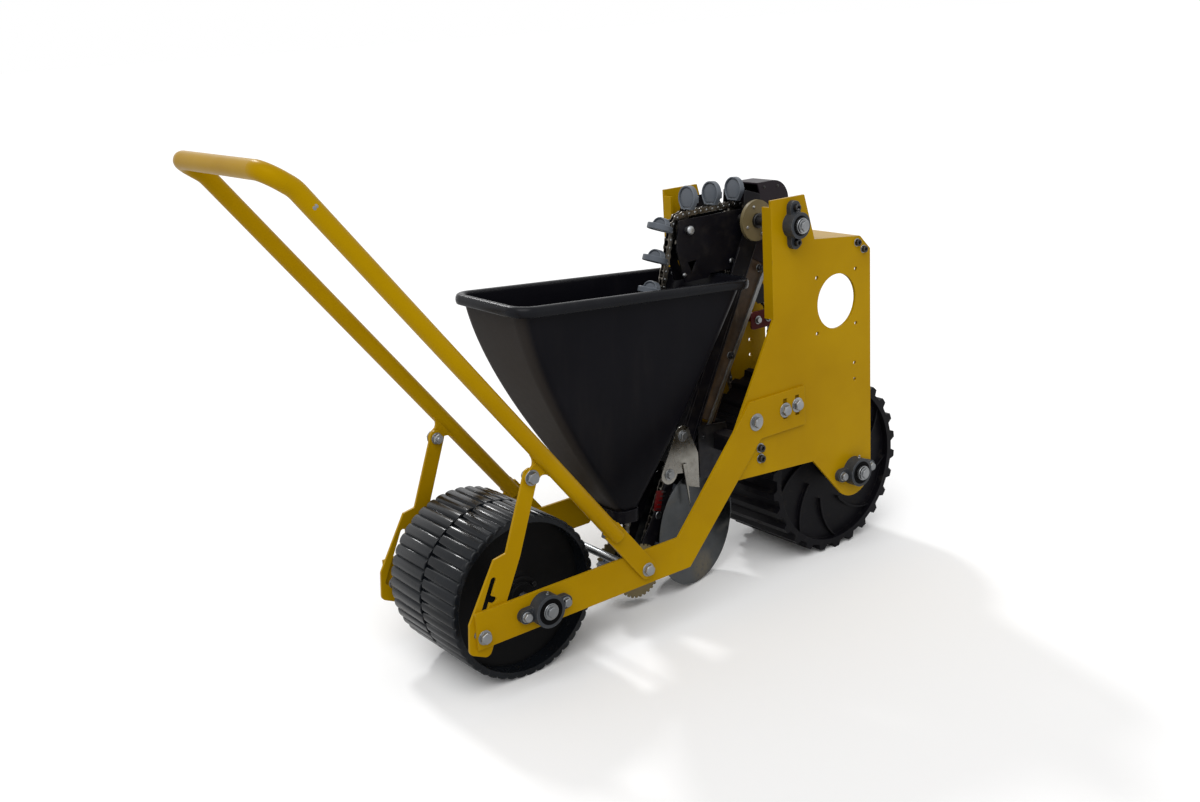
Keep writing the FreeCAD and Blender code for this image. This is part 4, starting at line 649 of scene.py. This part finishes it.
def small_fastenings():
    """Nuts beside the cover's bars, and bolts of the head, carriers, tensioner and lever."""
    nuts = Piece("cover_nuts", "black_steel", slot="chain_steel")
    bright = Piece("light_bolts", "bright_steel")
    for side in SIDES.values():
        for along, height in ((716, 668), (623, 493), (531, 333)):
            place = seat(along, side * COVER_FACE, height, spin=along * 0.01)
            washer(bright, place, 8.5, 1.4)
            hexagon(nuts, place, 7.8, 1.4, 8.0)
            nuts.turned([(3.9, 8), (3.9, 11), (3.3, 11.6), (0.5, 11.6)], place, 16)
        for along, height in ((465, 355), (424, 279)):
            place = seat(along, side * 50, height, spin=0.3)
            washer(bright, place, 12.5)
            hexagon(bright, place, 9, WASHER, 7.6)
        place = seat(651, side * HEAD_FACE, 692, spin=0.2)
        bright.turned([(7.0, 0), (6.8, 1.4), (5.2, 2.8), (2.4, 3.5), (0.3, 3.6)], place)
        place = seat(517.5, side * HEAD_FACE, 684)
        bright.turned([(5.0, 0), (4.8, 1.2), (3.2, 2.2), (0.3, 2.5)], place, 20)
    for along, spin in ((854, 0.3), (TENSIONER[0], 0.1)):
        place = seat(along, 116, TENSIONER[1], (0, -1, 0), spin)
        washer(bright, place, 10, 1.4)
        hexagon(bright, place, 7.5, 1.4, 6.6)
    bright.turned([(8.4, 0), (8.4, 2.2), (7.6, 3.0), (0.4, 3.2)], seat(401, -COVER_FACE, 190.5), 28)
    nuts.made()
    bright.made(ease=0.25)


def lever_ribs():
    """Five grip ribs across the red lever."""
    ribs = Piece("lever_ribs", "black_steel", slot="red_paint")
    for step in range(5):
        low = Vector((393.5 + step * 4.2, 206 + step * 8.4))
        outline = [low + Vector(corner) for corner in ((0, 0), (11.5, -3.4), (12.4, -1.2), (0.9, 2.2))]
        ribs.sheet(outline, -36.9, -36.1)
    ribs.made()


def head_fittings():
    """The idler's bolt, and the boss and screws of the cream disc."""
    idler = Piece("idler_bolt", "bright_steel")
    half = [(7.9, 0), (7.9, 24.5), (9.4, 24.6), (9.6, 25.4), (9.4, 28.4), (8.0, 30.2), (4.4, 31.6),
            (0.4, 31.9)]
    for side in SIDES.values():
        idler.turned(half, seat(IDLER[0], 0, IDLER[1], (0, side, 0)), 32)
    idler.made("idler_axle")
    boss = Piece("top_disc_boss", "black_steel", slot="cream_plastic")
    place = seat(TOP_SHAFT[0], -68, TOP_SHAFT[1])
    boss.ring([(10.3, 0), (15.5, 0), (15.5, 5), (14.4, 6), (10.3, 6)], place, 36)
    boss.made()
    screws = Piece("top_disc_screws", "bright_steel")
    for step in range(4):
        turn = Matrix.Rotation(math.radians(20 + 90 * step), 4, "Z") @ Matrix.Translation((31 * MM, 0, 0))
        screws.turned([(3.6, 0), (3.4, 1.2), (2.2, 2.2), (0.3, 2.5)], place @ turn, 16)
    screws.made()


# ---------------------------------------------------------------- chains and sprockets

def toward(turn):
    """One step in the side view at an angle from straight ahead."""
    return Vector((math.cos(turn), math.sin(turn)))


class ChainLine:
    """A chain's middle line round its wheels (station, height, radius), in millimetres."""

    def __init__(self, wheels):
        self.runs = []
        count = len(wheels)
        straights = [self.straight(wheels[index], wheels[(index + 1) % count]) for index in range(count)]
        for index, (start, end) in enumerate(straights):
            self.runs.append(("line", (end - start).length, start, end))
            along, height, radius = wheels[(index + 1) % count]
            first = math.atan2(end.y - height, end.x - along)
            onward = straights[(index + 1) % count][0]
            last = math.atan2(onward.y - height, onward.x - along)
            sweep = (first - last) % (2 * math.pi)
            self.runs.append(("arc", sweep * radius, Vector((along, height)), (radius, first)))
        self.length = sum(run[1] for run in self.runs)

    @staticmethod
    def straight(first, second):
        """The common tangent on the outside, run clockwise from the right."""
        span = math.hypot(second[0] - first[0], second[1] - first[1])
        lean = math.asin((second[2] - first[2]) / span)
        away = toward(math.atan2(second[1] - first[1], second[0] - first[0]) + math.pi / 2 + lean)
        return Vector(first[:2]) + away * first[2], Vector(second[:2]) + away * second[2]

    def at(self, distance):
        """The point that far along the line."""
        distance %= self.length
        for kind, length, first, second in self.runs:
            if distance <= length:
                if kind == "line":
                    return first.lerp(second, distance / length)
                radius, start = second
                return first + toward(start - distance / radius) * radius
            distance -= length
        return self.at(0.0)


def link_outline(first, second, height, waist=0.78):
    """Side view of a link plate: an eye round each pin and a waist between them."""
    run = second - first
    angle = math.atan2(run.y, run.x)
    half = height / 2
    outline = []
    for centre, start in ((second, angle - math.pi / 2), (first, angle + math.pi / 2)):
        outline += [centre + toward(start + math.pi * step / 7) * half for step in range(8)]
        outline.append(first.lerp(second, 0.5) + toward(start + math.pi) * half * waist)
    return outline


def roller_chain(name, line, links, height, middle, inner, outer, reach):
    """Link plates in turn outside and inside, rollers between them and pins through them."""
    plates = Piece(f"{name}_links", "chain_steel")
    pins = Piece(f"{name}_pins", "bright_steel")
    pitch = line.length / links
    step = (outer - inner) / 2
    for index in range(links):
        first = line.at(index * pitch)
        second = line.at((index + 1) * pitch)
        low = inner + (step if index % 2 else 0) + 0.1
        outline = link_outline(first, second, height)
        for side in SIDES.values():
            plates.sheet(outline, middle + side * low, middle + side * (low + step - 0.2))
        place = seat(first.x, middle - reach, first.y, (0, 1, 0))
        pins.turned([(1.7, 0), (2.6, 0.6), (2.6, 2 * reach - 0.6), (1.7, 2 * reach)], place, 10)
        place = seat(first.x, middle - inner, first.y, (0, 1, 0))
        plates.turned([(3.6, 0), (4.2, 0.4), (4.2, 2 * inner - 0.4), (3.6, 2 * inner)], place, 12)
    plates.made(name)
    pins.made()


TOOTH = ((-0.5, -4.6), (-0.34, -3.6), (-0.24, -0.6), (-0.12, 2.8), (0, 3.4), (0.12, 2.8), (0.24, -0.6),
         (0.34, -3.6))    # share of a tooth's pitch, and height over the pitch circle


def toothed_wheel(piece, centre, radius, teeth, middle, half, bore):
    """A sprocket with round gullets, and its hub."""
    outline = [Vector(centre) + toward((tooth + share) * 2 * math.pi / teeth) * (radius + rise)
               for tooth in range(teeth) for share, rise in TOOTH]
    piece.sheet(outline, middle - half, middle + half)
    place = seat(centre[0], middle, centre[1], (0, 1, 0))
    hub = half + 4
    piece.ring([(bore, -hub), (bore + 7, -hub), (bore + 8, 1 - hub), (bore + 8, hub - 1),
                (bore + 7, hub), (bore, hub)], place, 32)


def elevator_line():
    """The cup chain's middle line round idler, top shaft and bottom sprocket."""
    return ChainLine(((*IDLER, HEAD_PITCH), (*TOP_SHAFT, HEAD_PITCH), (*FOOT, 24)))


def chains():
    """Both chains, and the toothed rims of the sprockets that carry them."""
    roller_chain("elevator_chain", elevator_line(), 112, 13, 0, 4.0, 7.0, 7.8)
    drive_axle = (WHEELBASE, DRIVE_HEIGHT)
    drive = ChainLine(((*TOP_SHAFT, SIDE_PITCH), (*TENSIONER, 19), (*drive_axle, AXLE_PITCH)))
    links = 2 * round(drive.length / DRIVE_LINK / 2)
    roller_chain("drive_chain", drive, links, 11, DRIVE_CHAIN_AT, 3.4, 6.0, 6.9)
    wheels = Piece("head_sprocket_wheels", "chain_steel")
    toothed_wheel(wheels, TOP_SHAFT, HEAD_PITCH, 12, 0, 2.6, 10.1)
    toothed_wheel(wheels, IDLER, HEAD_PITCH, 12, 0, 2.6, 8.1)
    wheels.made("elevator_sprockets")
    pinions = Piece("side_sprocket_wheels", "chain_steel")
    toothed_wheel(pinions, TOP_SHAFT, SIDE_PITCH, 12, DRIVE_CHAIN_AT, 3, 10.1)
    toothed_wheel(pinions, drive_axle, AXLE_PITCH, 14, DRIVE_CHAIN_AT, 3, 10.1)
    pinions.made("drive_sprockets")


# ---------------------------------------------------------------- press wheel and seed cups

RIBS = 44
RIB_STEPS = 10
TREAD = 162.5
BARREL = 148.5


def tread_row(width, shift, drop=None):
    """Points round the crowned ribs, lowered by drop, or round the barrel under them."""
    row = []
    for step in range(RIBS * RIB_STEPS):
        across = 2 * ((step / RIB_STEPS) % 1) - 1
        crown = TREAD - 2.5 * across ** 2 - 2.3 * abs(across) ** 9
        radius = BARREL if drop is None else crown - drop
        spot = toward(2 * math.pi * (step / RIB_STEPS + shift - 0.5) / RIBS + math.pi / 2) * radius
        row.append((spot.x, spot.y, width))
    return row


def press_drums():
    """Two drums whose crowned ribs lie close together, each with its web, hub and flange."""
    for side, sign in SIDES.items():
        place = seat(0, 0, PRESS_HEIGHT, (0, sign, 0))
        shift = 0.5 if sign > 0 else 0.0
        tread = Piece(f"press_drum_{side}_tread", "press_rubber", "press_wheel")
        rows = ((2.6, None), (2.6, 1.2), (3.8, 0), (111.5, 0), (113.6, 0.9), (114.7, 2.6), (115, 4.6),
                (115, None))
        tread.skinned([tread_row(width, shift, drop) for width, drop in rows], place, joined=True)
        tread.made(f"press_drum_{side}", sharp=35)
        core = Piece(f"press_drum_{side}_core", "drum_core", "press_wheel", "press_rubber")
        core.ring([(148.8, 77), (141, 77), (136, 74.5), (70, 73), (44, 75.5), (33, 80), (28, 88), (27, 105),
                   (25.5, 107), (10.2, 107), (10.2, 4), (27, 4), (28, 60), (60, 66), (148.8, 69)], place, 72)
        core.ring([(20, 95.5), (38, 95.5), (39, 96.5), (39, 100), (38, 101), (27.5, 101), (20, 101)],
                  place, 48)
        core.made(sharp=50)
        bolts = Piece(f"press_hub_bolts_{side}", "black_steel", "press_wheel", "chain_steel")
        for step in range(4):
            turn = Matrix.Rotation(math.pi * step / 2 + 0.5, 4, "Z") @ Matrix.Translation((0.033, 0, 0.101))
            hexagon(bolts, place @ turn, 5.2, 0, 4.5)
        bolts.made()


def cup_outline(inset):
    """Across and out from the chain: the round wide end, then straight sides down to the neck."""
    wide, neck, centre, foot = 25, 17, 31, 6.9 + inset
    lean = math.asin((wide - neck) / (centre - 15.5))
    turns = [-lean + (math.pi + 2 * lean) * step / 24 for step in range(25)]
    points = [((wide - inset) * math.cos(turn), centre + (wide - inset) * math.sin(turn)) for turn in turns]
    width, height = points[0]
    corner = width - (height - foot) * math.tan(lean)
    return points + [(-corner, foot), (corner, foot)]


def back_outline(inset):
    """Across and ahead: the half-round back that stands on the tray's leading side."""
    turns = [math.pi * step / 16 for step in range(17)]
    return [((21 - inset) * math.cos(turn), 5.5 + (15.5 - inset) * math.sin(turn)) for turn in turns]


def seed_cups():
    """A cup every few links: rimmed hollow tray with a half-round back on its leading side."""
    line = elevator_line()
    cups = Piece("seed_cup_set", "cup_plastic")
    pins = Piece("seed_cup_pins", "bright_steel")
    tray = [(0.9, 6.0), (0, 5.1), (0, -5.1), (0.9, -6.0), (2.6, -6.0), (3.2, -5.2), (3.5, -1.8),
            (5.3, -1.6), (5.8, -3.4), (7.2, -3.9)]
    tray = [[(along, *point) for point in cup_outline(inset)] for inset, along in tray]
    back = [(0.6, 21), (0, 21.6), (0, 33.2), (0.8, 34), (2.4, 34), (3.0, 33.2), (3.3, 30.6),
            (4.2, 30.6), (4.8, 31.8), (6.0, 32.1)]
    back = [[(along, across, out) for across, along in back_outline(inset)] for inset, out in back]
    hinge = Matrix.Translation((0, 0, 6.5 * MM))
    lean = hinge @ Matrix.Rotation(math.radians(CUP_LEAN), 4, "Y") @ hinge.inverted()
    for index in range(CUPS):
        reach = FIRST_CUP + line.length * index / CUPS
        spot = line.at(reach)
        way = (line.at(reach + 0.5) - line.at(reach - 0.5)).normalized()
        turn = Matrix(((way.x, 0, -way.y, 0), (0, 1, 0, 0), (way.y, 0, way.x, 0), (0, 0, 0, 1)))
        place = Matrix.Translation(station(spot.x, 0, spot.y)) @ turn @ lean
        cups.skinned(tray, place)
        cups.skinned(back, place)
        pin = place @ Matrix.Translation((0, 0, 8.2 * MM)) @ Matrix.Rotation(-math.pi / 2, 4, "X")
        pins.turned([(3.2, -9.4), (3.6, -8.8), (3.6, 8.8), (3.2, 9.4)], pin, 14)
    cups.made("seed_cups", sharp=30)
    pins.made()


# ---------------------------------------------------------------- sheet, weld and moulding details

def channel_highlight_folds():
    """Narrow folded beads along the channel's cheeks, in bright bare sheet metal that paints the highlights
    of their edges.
    """
    # partly real folds, partly painted highlight: bright metal strips laid where the cheeks' edges catch the
    # light
    highlight_folds = Piece("channel_highlight_folds", "grey_sheet")
    start = Vector((710.0, 764.9))
    along = (Vector((361.7, 71.2)) - start).normalized()
    ahead = along.orthogonal()
    wide = ahead * 0.7
    for out, top, foot in ((-23.4, 60, 560), (-15.5, 120, 540), (12.0, 110, 520), (19.0, 40, 500)):
        low = start + along * top + ahead * out
        high = start + along * foot + ahead * out
        for side in SIDES.values():
            highlight_folds.sheet([low - wide, low + wide, high + wide, high - wide], side * 33.0, side * 33.9)
    highlight_folds.made()


def hopper_rim():
    """The rolled lip round the hopper's mouth, over the moulding's square one."""
    roll = Piece("hopper_rim_roll", "rim_moulding", slot="hopper_plastic")
    corner = 42
    ahead = (623 - 34) / 2 - corner
    across = 120 - corner
    rows = []
    for out, height in ((-15, -3), (-15.4, -0.6), (-13, 1.6), (-8, 3.0), (-3, 2.6), (0.6, 0.6), (2.6, -3.4),
                        (3.2, -8.5), (2.6, -13.5), (1.2, -16.6), (-1, -17.4), (-3, -16)):
        row = []
        for way_x, way_y, start in ((1, 1, 0), (-1, 1, 90), (-1, -1, 180), (1, -1, 270)):
            for step in range(10):
                spot = toward(math.radians(start + 10 * step)) * (corner + out)
                row.append((way_x * ahead + spot.x, way_y * across + spot.y, height))
        rows.append(row)
    tilt = Matrix.Rotation(math.radians(RIM_TILT), 4, "Y")
    roll.skinned(rows, Matrix.Translation(station(328.5, 0, 692)) @ tilt, joined=True)
    roll.made(sharp=60)


def weld(piece, points, size, seed):
    """A row of overlapping lumps along points."""
    chance = random.Random(seed)
    for point in points:
        lump = size * chance.uniform(0.85, 1.15)
        place = Matrix.Translation(point) @ Matrix.Rotation(chance.uniform(0, 3), 4, "Y")
        piece.turned([(lump * 0.3, -lump * 0.9), (lump * 0.8, -lump * 0.55), (lump, 0),
                      (lump * 0.8, lump * 0.55), (lump * 0.3, lump * 0.9)], place, 10)


TUBE_RUN = (TUBE_KNEE - TUBE_FOOT).normalized()
TAB = TUBE_FOOT + TUBE_RUN * (STRUT_TOP - TUBE_FOOT).dot(TUBE_RUN)    # on the tube beside the strut's top
TAB_AWAY = (STRUT_TOP - TAB).normalized()


def handle_welds():
    """Beads where each tube meets its flat end, and round the strut's tab."""
    beads = Piece("handle_welds", "yellow_paint")
    rise = TUBE_RUN.orthogonal()
    for side in SIDES.values():
        for edge in (-1, 1):
            spots = [TUBE_FOOT + TUBE_RUN * (112 + step * 3.0) + rise * edge * 15.5 for step in range(12)]
            weld(beads, [station(spot.x, side * 176, spot.y) for spot in spots], 2.4, 11 + edge)
        for edge in (-1, 1):
            spots = [TAB + TUBE_RUN * edge * 13.5 + TAB_AWAY * (8 + step * 2.5) for step in range(7)]
            weld(beads, [station(spot.x, side * 171.5, spot.y) for spot in spots], 2.2, 31 + edge)
    beads.made()


def tab_fillets():
    """The strut tabs' corners, swept into the tubes."""
    webs = Piece("tab_fillets", "yellow_paint")
    for way in (-1, 1):
        corner = TAB + TAB_AWAY * 15 + TUBE_RUN * way * 13
        sweep = TUBE_RUN * way * 19
        rise = TAB_AWAY * 17
        outline = [corner - TAB_AWAY * 6, corner + sweep - TAB_AWAY * 6, corner + sweep]
        for step in range(1, 9):
            turn = math.pi / 2 * step / 9
            outline.append(corner + sweep * (1 - math.sin(turn)) + rise * (1 - math.cos(turn)))
        outline.append(corner + rise)
        for side in SIDES.values():
            webs.sheet(outline, side * 166.2, side * 171.8)
    webs.made(ease=0.5)


def tube_plugs():
    """Round plugs in the upper ends of the handle's tubes."""
    plugs = Piece("tube_plugs", "bright_steel")
    spot = TUBE_FOOT + TUBE_RUN * 1010
    for side in SIDES.values():
        place = seat(spot.x, side * 191.2, spot.y)
        plugs.turned([(5.0, -1.5), (5.0, 0.2), (4.2, 0.7), (1.0, 0.8)], place, 20)
    plugs.made()


def opener_rivets():
    """Rivets on the opener discs' hubs, in line with each tilted axle."""
    lean = math.radians(DISC_LEAN)
    for side, sign in SIDES.items():
        axis = Vector((math.sin(lean), sign * math.cos(lean), 0))
        place = seat(DISC_HUBS[side], sign * 30.5, 133, axis)
        rivets = Piece(f"opener_rivets_{side}", "bright_steel", f"opener_wheel_{side}")
        for step in range(5):
            turn = Matrix.Rotation(2 * math.pi * step / 5, 4, "Z") @ Matrix.Translation((0.019, 0, 0.009))
            rivets.turned([(4.0, 0), (3.7, 1.3), (2.4, 2.4), (0.3, 2.7)], place @ turn, 18)
        rivets.made()


def hood_rivets():
    """Black rivets along the hood's sides."""
    rivets = Piece("hood_rivets", "black_steel", slot="hood_plastic")
    for side in SIDES.values():
        for along, height in ((738, 838), (778, 836), (798, 806), (800, 768), (752, 742)):
            place = seat(along, side * 33, height)
            rivets.turned([(3.4, 0), (3.1, 1.0), (1.8, 1.8), (0.3, 2.0)], place, 16)
    rivets.made()


frame_bolts()
black_bolts()
bearing_inserts()
small_fastenings()
lever_ribs()
head_fittings()
chains()
press_drums()
seed_cups()
channel_highlight_folds()
hopper_rim()
handle_welds()
tab_fillets()
tube_plugs()
opener_rivets()
hood_rivets()


# ---------------------------------------------------------------- floor, light and camera

def stage_floor():
    """A floor that looks white and keeps the soft shadow."""
    mesh = bpy.data.meshes.new("floor")
    reach = 60.0
    mesh.from_pydata([(-reach, -reach, 0), (reach, -reach, 0), (reach, reach, 0), (-reach, reach, 0)],
                     [], [(0, 1, 2, 3)])
    floor = bpy.data.objects.new("floor", mesh)
    bpy.context.scene.collection.objects.link(floor)
    pale = Finish("pale_floor", Roughness=1.0, Specular_IOR_Level=0.0)
    seen = pale.node("LightPath", output="Is Camera Ray")
    pale.surface(Base_Color=pale.mix(seen, (0.7, 0.7, 0.7), (1.0, 1.0, 1.0)))
    mesh.materials.append(pale.material)


def soft_sun(name, way, strength, spread):
    """A sun that shines along way, as wide in the sky as spread, in degrees."""
    light = bpy.data.lights.new(name, "SUN")
    light.energy = strength
    light.angle = math.radians(spread)
    lamp = bpy.data.objects.new(name, light)
    lamp.rotation_mode = "QUATERNION"
    lamp.rotation_quaternion = Vector(way).to_track_quat("-Z", "Y")
    bpy.context.scene.collection.objects.link(lamp)


def pale_surroundings(level):
    """Even light from all round, white wherever it is seen, mirrored or shone through."""
    world = bpy.data.worlds.new("studio")
    bpy.context.scene.world = world
    world.use_nodes = True
    air = Shading(world.node_tree)
    seen, mirrored, through = (air.node("LightPath", output=f"Is {kind} Ray")
                               for kind in ("Camera", "Glossy", "Transmission"))
    white = seen.larger(mirrored).larger(through)
    strength = air.node("MapRange", inputs={"Value": white, "To Min": level, "To Max": 1.0})
    light = air.node("Background", inputs={"Color": (1, 1, 1), "Strength": strength})
    output = air.tree.nodes.new("ShaderNodeOutputWorld")
    air.feed(output.inputs[0], light)


def viewpoint():
    """Looks down at the right rear quarter of the machine."""
    sight = Vector((0.57453825, 0.76581209, -0.28885574))
    right = Vector((0.78705353, -0.613782, -0.06179319))
    up = Vector((0.22461643, 0.19184238, 0.95537635))
    data = bpy.data.cameras.new("viewpoint")
    data.sensor_width = 36.0
    data.lens = 39.108
    camera = bpy.data.objects.new("viewpoint", data)
    turn = Matrix((right, up, -sight)).transposed().to_4x4()
    camera.matrix_world = Matrix.Translation(Vector((-1.529445, -2.022259, 1.224277))) @ turn
    bpy.context.scene.collection.objects.link(camera)
    bpy.context.scene.camera = camera


stage_floor()
pale_surroundings(0.5)
soft_sun("key_light", (0.5, 0.55, -1.0), strength=1.72, spread=50)
soft_sun("back_light", (-0.178, -0.766, -0.623), strength=0.95, spread=7.5)
viewpoint()
bpy.context.scene.view_settings.view_transform = "Standard"
